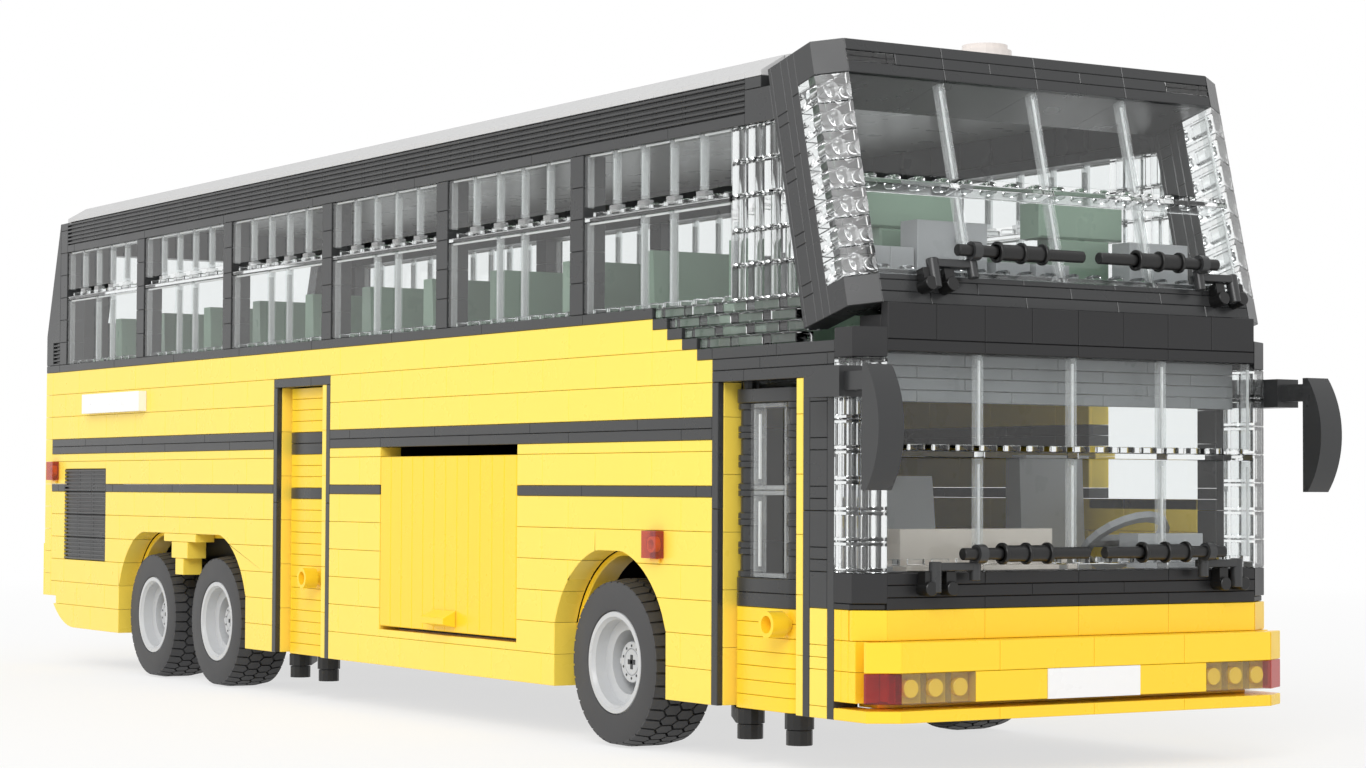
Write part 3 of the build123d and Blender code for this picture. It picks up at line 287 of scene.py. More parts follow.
def clear_plastic(name, tint, haze):
    """Thin clear plastic: see-through, shiny at a slant on its outer faces, with a little haze."""
    material, tree = new_material(name)
    noise = shade(tree, "TexNoise", {"Scale": 60})
    share = shade(tree, "MapRange", {"Value": noise, "To Min": haze * 0.7, "To Max": haze * 1.3})
    through = shade(tree, "BsdfTransparent", {"Color": (*tint, 1)})
    milky = shade(tree, "BsdfDiffuse", {"Color": (0.9, 0.9, 0.9, 1)})
    hazy = shade(tree, "MixShader", {0: share, 1: through, 2: milky})
    inside = shade(tree, "NewGeometry", output="Backfacing")
    outside = shade(tree, "Math", {0: 1, 1: inside}, operation="SUBTRACT")
    slant = shade(tree, "Fresnel", {"IOR": 1.5})
    gloss = shade(tree, "Math", {0: slant, 1: outside}, operation="MULTIPLY")
    shine = shade(tree, "BsdfGlossy", {"Roughness": 0.04})
    show(tree, "Material", shade(tree, "MixShader", {0: gloss, 1: hazy, 2: shine}))
    return material


def clear_brick(name, colour):
    """Thick clear plastic, which bends what is seen through it."""
    material, tree = new_material(name)
    noise = shade(tree, "TexNoise", {"Scale": 120})
    dull = shade(tree, "MapRange", {"Value": noise, "To Min": 0.01, "To Max": 0.05})
    surface = {"Base Color": (*colour, 1), "IOR": 1.45, "Transmission Weight": 1, "Roughness": dull}
    show(tree, "Material", shade(tree, "BsdfPrincipled", surface))
    return material


YELLOW = plastic("yellow_plastic", (1.0, 0.74, 0.1))
# Same yellow darkened as painted shade, for the front, hatches, doors, lamp bosses and arch liners
YELLOW_PAINTED_SHADE = plastic("yellow_plastic_painted_shade", (1.0, 0.66, 0.03))
DARK = plastic("dark_grey_plastic", (0.033, 0.034, 0.035))
# Same dark grey darkened as painted shade, for the upright front rows: sill and header
DARK_PAINTED_SHADE = plastic("dark_plastic_painted_shade", (0.012, 0.012, 0.013), 0.4)
CEILING = plastic("ceiling_plastic", (0.28, 0.285, 0.29))
RIM_GREY = plastic("rim_plastic", (0.55, 0.56, 0.57))
BLACK = plastic("black_plastic", (0.008, 0.008, 0.008), 0.35)
WHITE = plastic("white_plastic", (0.88, 0.88, 0.88))
GREY = plastic("light_grey_plastic", (0.42, 0.43, 0.44))
MID_GREY = plastic("mid_grey_plastic", (0.2, 0.21, 0.215))
GREEN = plastic("green_plastic", (0.25, 0.36, 0.27))
CREAM = plastic("cream_plastic", (0.66, 0.6, 0.53))
RUBBER = plastic("tyre_rubber", (0.05, 0.05, 0.052), 0.55, 0.1)
RED = clear_plastic("red_lens", (0.68, 0.14, 0.09), 0.02)
AMBER = clear_plastic("amber_lens", (0.7, 0.24, 0.16), 0.03)
CLEAR = clear_plastic("clear_plastic", (0.97, 0.98, 0.98), 0.015)
LENS = clear_plastic("clear_lens", (0.82, 0.82, 0.8), 0.04)
# Returns and edges of clear panes: real clear plastic, made milky as painted highlight
EDGE_PAINTED_HIGHLIGHT = clear_plastic("clear_edge_painted_highlight", (0.96, 0.97, 0.97), 0.22)
# Milky white strips that stand for painted glints on the clear panes
PAINTED_GLINT = clear_plastic("painted_glint_plastic", (0.98, 0.98, 0.98), 0.9)
DOME = plastic("dome_plastic", (0.8, 0.74, 0.7))
ROOF = plastic("roof_plastic", (0.55, 0.55, 0.55), 0.7)
CLEAR_BRICK = clear_brick("clear_brick", (0.97, 0.98, 0.98))

# Openings of the walls, as spans of studs and levels
HATCH = (40, 52)
HATCH_LEVELS = (4, 22)
GRILLE = (2, 8)
GRILLE_LEVELS = (9, 21)
BAND = (23, 25)
REAR_DOOR = (29, 35)
REAR_DOOR_TOP = 31
FRONT_DOOR = (66, 72)
COLUMN = (72, 73)
WALL_END = 66
PILLARS = (12, 23, 34, 45, 56)
WINDOW = (35, 50)
# Beyond the last stud of every row
LAST_STUD = 80

REAR_AXLES = (at(14), at(22))
FRONT_AXLE = at(59)
AXLES = (FRONT_AXLE, *REAR_AXLES)
ARCH_RADIUS = WHEEL_RADIUS + 8.85 * MM
ARCH_HALF = WHEEL_RADIUS + 7.25 * MM
ARCH_TOP = AXLE_Z + WHEEL_RADIUS + 8.1 * MM
ARCH_STEPS = 16
TINY = 1e-6
HAIR = 1e-7
# Points of an arch nearer than this to a brick's corner are left out, and so are shorter bricks than this
NEAR = 0.6 * MM
SHORTEST = 0.4 * MM


def arch(x):
    """Height of the wheel arch's edge at X, or nothing outside the arches."""
    if REAR_AXLES[0] <= x <= REAR_AXLES[1]:
        return ARCH_TOP
    for axle in AXLES:
        run = abs(x - axle)
        if run < ARCH_HALF:
            return min(ARCH_TOP, AXLE_Z + sqrt(ARCH_RADIUS**2 - run**2))
    return None


# X values at which the arches' outline is followed
ARCH_RUNS = [ARCH_HALF - TINY, ARCH_HALF + TINY, *[ARCH_HALF * i / ARCH_STEPS for i in range(ARCH_STEPS)]]
ARCH_MARKS = [axle + hand * run for axle in AXLES for run in ARCH_RUNS for hand in (-1, 1)]


def lay_brick(heap, side, x, z):
    """One brick of a wall, cut where a wheel arch takes part of it."""
    low, high = z
    crossing = []
    for height in z:
        rise = height - AXLE_Z
        if 0 < rise < ARCH_RADIUS:
            run = sqrt(ARCH_RADIUS**2 - rise**2)
            crossing += [axle + hand * run for axle in AXLES for hand in (-1, 1)]
    marks = [*x, *crossing]
    for mark in ARCH_MARKS:
        if arch(mark) is None or all(abs(mark - cut) > NEAR for cut in crossing):
            marks.append(mark)
    runs, run = [], []
    for mark in sorted({mark for mark in marks if x[0] <= mark <= x[1]}):
        edge = arch(mark)
        if edge is None or edge < high - HAIR:
            run.append((mark, max(low, edge or low)))
        elif run:
            if edge <= high + HAIR:
                run.append((mark, high))
            runs.append(run)
            run = []
        elif edge <= high + HAIR:
            run = [(mark, high)]
    runs.append(run)
    for run in runs:
        if len(run) < 2 or run[-1][0] - run[0][0] < SHORTEST:
            continue
        floor = [run[0]]
        for i in range(1, len(run) - 1):
            if max(point[1] for point in run[i - 1 : i + 2]) > low + HAIR:
                floor.append(run[i])
        floor.append(run[-1])
        top = [(run[end][0], high) for end in (-1, 0) if run[end][1] < high - HAIR]
        heap.prism([*floor, *top], 1, *skin(side))


def lay_row(heap, side, levels, spans, shift, length=4):
    """Bricks of one row, in running bond, over spans of studs."""
    for first, last in spans:
        seams = [stud for stud in range(shift - length, LAST_STUD, length) if first < stud < last]
        for start, end in pairwise((first, *seams, last)):
            lay_brick(heap, side, span_x(start, end), span_z(*levels))


def spans_of(side, low, high, end):
    """Stud spans of a row that the doors, the hatch and the grille leave."""
    holes = []
    if low < GRILLE_LEVELS[1] and high > GRILLE_LEVELS[0]:
        holes.append(GRILLE)
    if side == RIGHT and low < REAR_DOOR_TOP:
        holes.append(REAR_DOOR)
    if low < BAND[0] and high > HATCH_LEVELS[0]:
        holes.append(HATCH)
    spans, start = [], 0
    for first, last in holes:
        spans.append((start, first))
        start = last
    return [*spans, (start, end)]


# Rows of the walls: bottom level, top level, seam shift and, in the wall, last stud
SKIRT_ROWS = ((0, 3, 2), (3, 6, 0), (6, 9, 2), (9, 12, 0), (12, 15, 2), (15, 18, 0))
WALL_ROWS = ((19, 22, 2, 66), (22, 23, 0, 66), (25, 28, 0, 66), (28, 31, 2, 65), (31, 34, 0, 62))
# Small plates that finish the stepped front end and the gap over the grille
FILLERS = ((62, 63, 31, 33), (63, 64, 31, 32), (65, 66, 28, 30), (2, 8, 21, 22))
# Steps that hang between the rear wheels: half length in studs, top and bottom in plates below the arch
PENDANT = ((2, 0, 1), (1, 1, 3), (0.5, 3, 5))
HATCH_GAP = 0.7 * MM
# Doors with the level of their top, and the linings of their openings
DOORS = ((FRONT_DOOR, 28), (REAR_DOOR, 30))
LINING_STEP = 5
LINING = 0.4
JAMB_SKIN = 2 * MM
# Levels of the seams in the yellow foot and the dark upper part of the front columns
COLUMN_FOOT = (0, 1, 4, 5, 6, 9)
COLUMN_SEAMS = (9, 12, 13, 14, 17, 18, 19, 22, 23, 26, 28)
# Rounded lower rear corner: its length and that of the small brick over it in studs, and the levels they reach
CORNER_END = 3.5
CORNER_STEP = 0.8
CORNER_LEVELS = (3, 6)
CORNER_RUN = CORNER_END * PITCH
CORNER_RISE = 4 * PLATE
CORNER_RADIUS = CORNER_RUN**2 / (2 * CORNER_RISE) + CORNER_RISE / 2


def rear_corner():
    """Outline of the rounded brick at the foot of the rear corner."""
    top = level(CORNER_LEVELS[0])
    curve = []
    for i in range(9):
        run = CORNER_RUN * i / 8
        rise = CORNER_RADIUS - sqrt(CORNER_RADIUS**2 - (CORNER_RUN - run) ** 2)
        if level(0) + rise < top:
            curve.append((at(0) + run, level(0) + rise))
    return [*curve, (at(CORNER_END), top), (curve[0][0], top)]


for side, name in SIDES:
    y = skin(side)
    skirt = Heap()
    for low, high, shift in SKIRT_ROWS:
        spans = spans_of(side, low, high, WALL_END if side == RIGHT else FRONT_DOOR[1])
        if high <= CORNER_LEVELS[1]:
            spans[0] = (CORNER_STEP if low else CORNER_END, spans[0][1])
        lay_row(skirt, side, (low, high), spans, shift)
    skirt.prism(rear_corner(), 1, *y)
    skirt.brick((0, CORNER_STEP), y, (4, CORNER_LEVELS[1]))
    for half, top, bottom in PENDANT:
        x = (mid(REAR_AXLES) - half * PITCH, mid(REAR_AXLES) + half * PITCH)
        skirt.block(x, y, (ARCH_TOP - bottom * PLATE, ARCH_TOP - top * PLATE))
    skirt.block(span_x(*HATCH), y, (level(3), level(HATCH_LEVELS[0]) - HATCH_GAP))
    for levels in pairwise(COLUMN_FOOT):
        skirt.brick(COLUMN, y, levels)
    skirt.build(f"{name}_skirt_bricks", YELLOW, f"{name}_skirt")

    wall = Heap()
    for low, high, shift, end in WALL_ROWS:
        lay_row(wall, side, (low, high), spans_of(side, low, high, end), shift)
    for first, last, low, high in FILLERS:
        wall.brick((first, last), y, (low, high))
    if side == RIGHT:
        for (first, last), top in DOORS:
            for low in range(0, top, LINING_STEP):
                z = span_z(low, min(low + LINING_STEP, top))
                wall.block(span_x(last - 2 * LINING, last - LINING), y, z)
                wall.block(span_x(first, first + LINING), skin(side, JAMB_SKIN), z)
    wall.build(f"{name}_wall_bricks", YELLOW, f"{name}_wall")

# Dark stripes: level and seam shift
stripes = Heap()
for side in HANDS:
    for low, shift in ((18, 1), (23, 0), (24, 5)):
        lay_row(stripes, side, (low, low + 1), spans_of(side, low, low + 1, WALL_END), shift, 8)
stripes.build("stripe_plates", DARK, "stripes")

# The front's own axes, across, up and outwards: upright below, leaning as the CAD frame does above
LEAN = radians(14)
LEAN_FOOT = 34
UPPER_FOOT = at(74.725)
UPPER_DEPTH = 1.6 * PITCH
FRAME_DEPTH = 2 * UPPER_DEPTH / cos(LEAN)
FLAT_PLACE = Matrix(((0, 0, 1, FRONT_X), (1, 0, 0, 0), (0, 1, 0, 0), (0, 0, 0, 1)))
LEAN_PLACE = Matrix(
    (
        (0, -sin(LEAN), cos(LEAN), UPPER_FOOT),
        (1, 0, 0, 0),
        (0, cos(LEAN), sin(LEAN), level(LEAN_FOOT)),
        (0, 0, 0, 1),
    )
)
# Sloping rear end: levels of its foot and top, and its run in studs
TAIL_KNEE = 39
TAIL_TOP = 54
TAIL_RUN = 1.925
# Depth of the ribs on ribbed bricks
RIB = 1 * MM


def frame_x(plates):
    """X of the leaning frame's rear face at a plate line."""
    return UPPER_FOOT - (plates - LEAN_FOOT) * PLATE * tan(LEAN) - FRAME_DEPTH


def tail_stud(plates):
    """Stud place of the sloping rear face at a plate line."""
    return (plates - TAIL_KNEE) / (TAIL_TOP - TAIL_KNEE) * TAIL_RUN - 1


def up_to_frame(stud, low, high):
    """Side outline from a stud line forward to the leaning frame."""
    foot, head = span_z(low, high)
    return [(at(stud), foot), (frame_x(low), foot), (frame_x(high), head), (at(stud), head)]


TAIL_OUTLINE = grid(
    (-1, 35), (0, 35), (0, 38), (1, 38), (1, TAIL_TOP), (tail_stud(TAIL_TOP), TAIL_TOP), (-1, TAIL_KNEE)
)

for side, name in SIDES:
    dark = Heap()
    y = skin(side)
    lay_row(dark, side, (34, 35), [(-1, 62)], 1, 8)
    for stud, low in ((62, 33), (63, 32), (64, 31), (65, 30)):
        dark.brick((stud, stud + 1), y, (low, low + 1))
    for low in (28, 29, 30):
        lay_row(dark, side, (low, low + 1), [(WALL_END, 73.4)], low % 4)
    for stud in (1, *PILLARS):
        top = WINDOW[1] if stud > 1 else TAIL_TOP
        for low in range(WINDOW[0], top, 3):
            dark.brick((stud, stud + 1), y, (low, min(low + 3, top)))
    lay_row(dark, side, (50, 51), [(2, 68)], 3, 10)
    dark.prism(TAIL_OUTLINE, 1, *y)
    for rib in range(6):
        low = level(35) + rib * PLATE / 2
        dark.block(span_x(0, 1), skin(side, RIB), (low, low + PLATE / 2))
        dark.block(span_x(0, 1), y, (low, low + PLATE / 4))
    dark.prism(up_to_frame(68, 50, 53), 1, *y)
    dark.brick((68, 69), y, (53, 54))
    if side == RIGHT:
        lay_row(dark, side, (30, 31), [REAR_DOOR], 3, 6)
    else:
        dark.brick(FRONT_DOOR, y, (17, 18))
    dark.build(f"{name}_dark_frame", DARK, f"{name}_window_frame")

# Dark columns of the front corners, and the upright strips beside the doors
STRIP_SEAM = 17
posts = Heap()
for side in HANDS:
    y = skin(side)
    for levels in pairwise(COLUMN_SEAMS):
        posts.brick(COLUMN, y, levels)
    for levels in pairwise((0, STRIP_SEAM, 28)):
        posts.brick((COLUMN[1], COLUMN[1] + LINING), y, levels)
for (first, last), top in DOORS:
    for levels in pairwise((0, STRIP_SEAM, top)):
        z = span_z(*levels)
        posts.block(span_x(last - LINING, last), skin(RIGHT), z)
        posts.block(span_x(first, first + LINING), (-HALF_WIDTH + JAMB_SKIN, -HALF_WIDTH), z)
posts.build("door_strips", DARK, "door_posts")

# Clear panes of the upper deck: thin walls, returns where two panes meet made pale by painted highlight,
# painted glints, and studded shelves
PANE_INSET = 0.4 * MM
PANE_WALL = 1.0 * MM
RETURN = 2.2 * MM
# Width of the painted glint strips
BRIGHT = 0.7 * MM
SHELF = (43.6, 45)
WINDOW_STUDS = 10
# First stud of the clear bricks behind the leaning frame, and the tube inside each
STACK = 67
TUBE_RADIUS = 2 * MM
TUBE_INSET = 0.6 * MM


def pane(walls, rims, glints, side, studs, levels):
    """One clear panel: thin outer wall, two side returns with milky painted highlight, and painted glints at
    one side and at the top.
    """
    x0, x1 = span_x(*studs)
    low, high = levels
    z = span_z(low, high)
    face = side * (HALF_WIDTH - PANE_INSET)
    back = face - side * PANE_WALL
    deep = back - side * RETURN
    walls.block((x0, x1), (face, back), z)
    rims.block((x0, x0 + PANE_WALL), (back, deep), z)
    rims.block((x1 - PANE_WALL, x1), (back, deep), z)
    glints.block((x1 - BRIGHT, x1), (back, deep), span_z(low + 0.4, high - 0.7))
    top = span_z(high - 0.25, high)
    glints.block((x0 + 2 * BRIGHT, x1 - 2 * BRIGHT), (back, back - side * BRIGHT), top)


def hollow_brick(heap, x, y, z):
    """Clear brick with the round tube inside it."""
    heap.block(x, y, z, edge=3 * EDGE)
    if x[1] - x[0] > 0.7 * PITCH:
        heap.round((mid(x), mid(y)), 2, TUBE_RADIUS, z[0] + TUBE_INSET, z[1] - TUBE_INSET, 16)


for side, name in SIDES:
    walls, rims, glints, bricks = Heap(), Heap(), Heap(), Heap()
    middle_y = side * (INNER + PITCH / 2)
    for first in (2, *[stud + 1 for stud in PILLARS]):
        for stud in range(first, first + WINDOW_STUDS, 2):
            pane(walls, rims, glints, side, (stud, stud + 2), (SHELF[1], WINDOW[1]))
            if stud > first:
                y = (middle_y, side * (HALF_WIDTH - 1 * MM))
                rims.brick((stud - 0.3, stud + 0.3), y, (SHELF[0] + 0.6, SHELF[1]))
        for studs in pairwise((first, first + 4, first + 6, first + WINDOW_STUDS)):
            pane(walls, rims, glints, side, studs, (WINDOW[0], SHELF[0]))
        y = (side * (INNER + 3 * MM), side * (HALF_WIDTH - 0.5 * MM))
        shelf_top = level(SHELF[0]) + PLATE / 2
        bricks.block(span_x(first, first + WINDOW_STUDS), y, (level(SHELF[0]), shelf_top))
        spots = [(at(first + i + 0.5), middle_y) for i in range(WINDOW_STUDS)]
        bricks.studs(spots, shelf_top)
        bricks.studs(spots, level(WINDOW[0]))
    y = (side * (INNER + 1 * MM), side * (HALF_WIDTH - 1 * MM))
    for low in range(*WINDOW, 3):
        stop = frame_x(low + 3)
        seams = [at(STACK + i) for i in range(4) if at(STACK + i) < stop - 2 * MM]
        for x in pairwise((*seams, stop)):
            hollow_brick(bricks, x, y, span_z(low, low + 3))
    for low, start in ((34, 62), (33, 63), (32, 64), (31, 65)):
        for stud in range(start, 71, 2):
            x = (at(stud), min(at(stud + 2), frame_x(low + 1)))
            bricks.block(x, y, span_z(low, low + 1), edge=2 * EDGE)
    if side == LEFT:
        walls.brick(FRONT_DOOR, y, (18, 28))
    walls.build(f"{name}_panes", CLEAR, f"{name}_glazing")
    rims.build(f"{name}_pane_edges", EDGE_PAINTED_HIGHLIGHT)
    glints.build(f"{name}_pane_glints", PAINTED_GLINT)
    bricks.build(f"{name}_clear_bricks", CLEAR_BRICK)

# Ribbed bricks: rails above the windows and engine grilles
RIBBED = ((2, 68, 51), *[(*GRILLE, low) for low in range(*GRILLE_LEVELS, 3)])
ribs = Heap()
for side in HANDS:
    for first, last, low in RIBBED:
        for stud in range(first, last, 2):
            x = span_x(stud, stud + 2)
            ribs.block(x, skin(side, RIB), span_z(low, low + 3))
            for rib in range(6):
                foot = level(low) + (rib + 0.25) * PLATE / 2
                y = (side * (HALF_WIDTH - RIB), side * HALF_WIDTH)
                ribs.block(x, y, (foot, foot + PLATE / 4), seam=0)
ribs.build("ribbed_bricks", DARK, "ribbed_grilles")

# Roof: slope pieces along the edges and smooth tiles between them
ROOF_LEVELS = (54, 56)
ROOF_LIP = 1.6 * MM
ROOF_TILE = 4 * PITCH
roof = Heap()
eaves, top_z = span_z(*ROOF_LEVELS)
for side in HANDS:
    inside, outside = skin(side)
    profile = [(outside, eaves), (outside, eaves + ROOF_LIP), (inside, top_z), (inside, eaves)]
    for stud in range(2, 69):
        roof.prism(profile, 0, *span_x(stud, stud + 1))
for row in range(4):
    y = -INNER + row * ROOF_TILE
    for stud in range(2, 66, 4):
        roof.block(span_x(stud, stud + 4), (y, y + ROOF_TILE), (eaves, top_z), 2)
    roof.prism(up_to_frame(66, *ROOF_LEVELS), 1, y, y + ROOF_TILE)
roof.build("roof_pieces", ROOF, "roof")

ceiling = Heap()
ceiling.block(span_x(2, 69), (-INNER, INNER), (eaves - 1 * MM, eaves), 2)
ceiling.build("ceiling", CEILING)

# Front rows, seen from ahead: places across in studs from the middle
LAMP_Z = (level(1.5), level(1.5) + PITCH)
BUMPER_Z = (LAMP_Z[1], LAMP_Z[1] + PITCH)
PANEL_Z = (BUMPER_Z[1], BUMPER_Z[1] + PITCH)
PANEL_X = FRONT_X - 4 * MM
LIP_X = FRONT_X - 8 * MM
REACH = BUMPER_X - FRONT_X
# Rear ends of the corner slopes on the bumper and on the panel
BUMPER_BACK = BUMPER_X - SLOPE_RUN - 1 * MM
PANEL_BACK = FRONT_X - SLOPE_RUN - 1 * MM


def bond(first_seam):
    """Pairs of studs across the front, with a seam every four studs from the first one."""
    return pairwise((-8, *range(first_seam, 8, 4), 8))


def front_corner(heap, side, z, reach, back):
    """Corner slope of a front row."""
    face = FRONT_X + reach
    inside, outside = skin(side)
    heap.prism([(back, inside), (face, inside), (face - SLOPE_RUN, outside), (back, outside)], 2, *z)


front = Heap()
for studs in bond(-4):
    y = span_y(*studs)
    front.block((FRONT_X, BUMPER_X), y, BUMPER_Z, 0)
    front.block((PANEL_X, FRONT_X), y, PANEL_Z, 0)
    front.block((LIP_X, BUMPER_X), y, span_z(0, 1), 0)
front.block((BACK_X, PANEL_X), (-INNER, INNER), (level(1), PANEL_Z[1]), 0)
front.block((PANEL_X, FRONT_X), (-INNER, INNER), (level(1.6), BUMPER_Z[1]), 0)
for side in HANDS:
    front.block((FRONT_X, BUMPER_X), span_y(side * 2, side * 5), LAMP_Z, 0)
    front_corner(front, side, BUMPER_Z, REACH, BUMPER_BACK)
    front_corner(front, side, PANEL_Z, 0, PANEL_BACK)
    front_corner(front, side, span_z(0, 1), REACH, BACK_X)
    for layer in range(3):
        x = BACK_X + layer * PLATE
        for z in (LAMP_Z, BUMPER_Z):
            front.block((x, x + PLATE), skin(side), z)
        if layer < 2:
            front.block((x, min(x + PLATE, FRONT_X - SLOPE_RUN)), skin(side), PANEL_Z)
front.build("front_bricks", YELLOW_PAINTED_SHADE, "front_bumper")

lamps, bosses = Heap(), Heap()
for side in HANDS:
    bosses.block((FRONT_X, FRONT_X + REACH / 2), (side * 5 * PITCH, side * INNER), LAMP_Z, 0)
    for lens in (5, 6, 7):
        y = span_y(side * lens, side * (lens + 1))
        lamps.block((FRONT_X + REACH / 2, BUMPER_X), y, LAMP_Z, 0)
        bosses.round((mid(y), mid(LAMP_Z)), 0, STUD_RADIUS, FRONT_X, BUMPER_X - 1.4 * MM)
lamps.build("headlamp_tiles", LENS, "headlamps")
bosses.build("headlamp_bosses", YELLOW_PAINTED_SHADE)

# Red lenses of the front corners and of the rear wall
LAMP_ROWS = (12, 18)
LAMP_FLOOR = at(-0.6)
corners = Heap()
rear_lamp_x = (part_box("red_lamps")[0].x, LAMP_FLOOR)
for side in HANDS:
    front_corner(corners, side, LAMP_Z, REACH, BUMPER_BACK)
    for low in range(*LAMP_ROWS, 3):
        corners.block(rear_lamp_x, (side * (INNER - 2 * PITCH), side * INNER), span_z(low, low + 3), 0)
corners.build("red_lenses", RED, "red_lamps")

# Dark rows below and above the lower windscreen: level and first seam
rows = Heap()
for low, seam in ((9, -4), (10, -2), (11, -4)):
    for studs in bond(seam):
        rows.block((BACK_X, FRONT_X), span_y(*studs), span_z(low, low + 1), 0)
for side in HANDS:
    front_corner(rows, side, span_z(9.5, 12), 0, BACK_X)
    front_corner(rows, side, span_z(9, 9.5), -1 * MM, BACK_X)
rows.build("sill_plates", DARK_PAINTED_SHADE, "front_sill")

STACK_ROWS = 7
SCREEN_FOOT = level(12)
CORNER_TOP = SCREEN_FOOT + STACK_ROWS * PITCH
header = Heap()
for first in range(-8, 8, 2):
    header.block((FRONT_X - PLATE, FRONT_X), span_y(first, first + 2), span_z(31, 34), 0)
for studs in bond(-4):
    header.block((BACK_X, FRONT_X), span_y(*studs), span_z(30, 31), 0)
header.block((BACK_X, FRONT_X - PLATE), (-INNER, INNER), span_z(31, 33), 0)
for side in HANDS:
    front_corner(header, side, (CORNER_TOP, CORNER_TOP + PITCH), 0, BACK_X)
header.build("header_tiles", DARK_PAINTED_SHADE, "front_header")

# Leaning upper front
RISE_GLASS = (PITCH, 8 * PITCH)
RISE_TOP = RISE_GLASS[1]
FRAME_RISE = RISE_TOP + 3 * PLATE
# Layers of the frame's sides: thickness, and seams up the slope in millimetres
SIDE_LAYERS = (
    (PLATE, (0, 30, 62)),
    (PLATE, (0, 46)),
    (PITCH - PLATE, (0, 8, 11.2, 22, 25.2, 40, 43.2, 56, 59.2)),
)


def lean_corner(heap, side, rise):
    """Corner slope piece of the leaning front."""
    inside, outside = skin(side)
    outline = [(inside, 0), (outside, -SLOPE_RUN), (outside, -UPPER_DEPTH), (inside, -UPPER_DEPTH)]
    heap.prism(outline, 1, *rise)


upper = Heap(LEAN_PLACE)
for rise, seam in (((0, PLATE), -6), ((PLATE, 2 * PLATE), -4), ((2 * PLATE, PITCH), -6)):
    for studs in bond(seam):
        upper.block(span_y(*studs), rise, (-UPPER_DEPTH, 0), 2)
for row in range(3):
    rise = (RISE_TOP + row * PLATE, RISE_TOP + (row + 1) * PLATE)
    for studs in pairwise(range(-6, 7, 2)) if row == 1 else bond(-4):
        upper.block(span_y(*studs), rise, (-2 * UPPER_DEPTH, 0), 2)
for side in HANDS:
    lean_corner(upper, side, (0, PITCH))
    lean_corner(upper, side, (RISE_TOP, FRAME_RISE))
    depth = UPPER_DEPTH
    for thick, seams in SIDE_LAYERS:
        for rise in pairwise((*[seam * MM for seam in seams], FRAME_RISE)):
            upper.block(skin(side), rise, (-depth - thick, -depth), 0)
        depth += thick
    upper.block(skin(side), (0, FRAME_RISE), (-2 * UPPER_DEPTH, -depth), 0)
upper.build("upper_front_bricks", DARK, "upper_front_frame")

# Clear stacked corner bricks, with the tubes inside them
stack, lean_stack = Heap(), Heap(LEAN_PLACE)
for side in HANDS:
    for row in range(STACK_ROWS):
        z = SCREEN_FOOT + row * PITCH
        front_corner(stack, side, (z, z + PITCH), 0, BACK_X)
        for x in (BACK_X + 0.35 * PITCH, FRONT_X - 0.65 * PITCH):
            centre = (x, side * (INNER + 0.5 * PITCH))
            stack.round(centre, 2, 0.25 * PITCH, z + 1 * MM, z + 7 * MM, 16)
        rise = RISE_GLASS[0] + row * PITCH
        lean_corner(lean_stack, side, (rise, rise + PITCH))
        centre = (side * (INNER + 0.45 * PITCH), rise + 0.5 * PITCH)
        lean_stack.round(centre, 2, 0.3 * PITCH, -1.4 * PITCH, -0.5 * PITCH, 16)
    rise = (RISE_TOP + PLATE, RISE_TOP + 2 * PLATE)
    lean_stack.block(span_y(side * 6, side * 8), rise, (-0.8 * PITCH, -0.2 * MM), 2)
stack.merge(lean_stack)
stack.build("corner_stacks", CLEAR_BRICK, "clear_corners")

# Panes of both windscreens and of the rear window. Depths are measured outwards from the front's face
SCREEN_PANE = (-2 * MM, -1 * MM)
SCREEN_RETURN = (-5 * MM, -2 * MM)
SCREEN_GLINT = (-3 * MM, -2 * MM)
SCREEN_BAR = (-PITCH, -0.5 * MM)
LEAN_SHELF = RISE_GLASS[0] + 0.45 * STACK_ROWS * PITCH
REAR_PANE = (2 * MM, 4 * MM)
REAR_PANE_LEVELS = (41, 50)


def windscreen(place, tiers, glint_gap, feet, thick):
    """Four columns of clear panes, with their edges made pale by painted highlight, their painted glints and
    the studded bars at their feet.
    """
    panes, rims, glints, bars = heaps = [Heap(place) for part in range(4)]
    for first in range(-8, 8, 4):
        start, end = across = span_y(first, first + 4)
        for low, high in tiers:
            panes.block(across, (low, high), SCREEN_PANE, 2)
            for edge in ((start, start + PANE_WALL), (end - PANE_WALL, end)):
                rims.block(edge, (low, high), SCREEN_RETURN, 2)
            glints.block((end - BRIGHT, end), (low, high - glint_gap), SCREEN_GLINT, 2)
        for foot in feet:
            top = foot + thick
            bars.block(across, (foot, top), SCREEN_BAR, 2)
            for i in range(4):
                centre = ((first + i + 0.5) * PITCH, -PITCH / 2)
                bars.round(centre, 1, STUD_RADIUS, top, top + STUD_RISE, 16)
    return heaps


flat_tiers = (span_z(13, 21.4), span_z(22.4, 30))
lean_tiers = ((RISE_GLASS[0], LEAN_SHELF), (LEAN_SHELF + PLATE, RISE_GLASS[1]))
flat = windscreen(FLAT_PLACE, flat_tiers, 1.6 * MM, span_z(12, 21.4), 0.6 * PLATE)
leaning = windscreen(LEAN_PLACE, lean_tiers, 2 * MM, (LEAN_SHELF, RISE_GLASS[0]), PLATE / 2)
screen, screen_rims, screen_glints, screen_bars = screens = [Heap() for part in range(4)]
for heap, *parts in zip(screens, flat, leaning):
    for part in parts:
        heap.merge(part)
(foot_x, foot_z), (head_x, head_z) = grid(*[(tail_stud(plates), plates) for plates in REAR_PANE_LEVELS])
near, far = REAR_PANE
rear_outline = [
    *((foot_x + near, foot_z), (foot_x + far, foot_z)),
    *((head_x + far, head_z), (head_x + near, head_z)),
]
for first in (-6, -2, 2):
    screen.prism(rear_outline, 1, *span_y(first, first + 4))
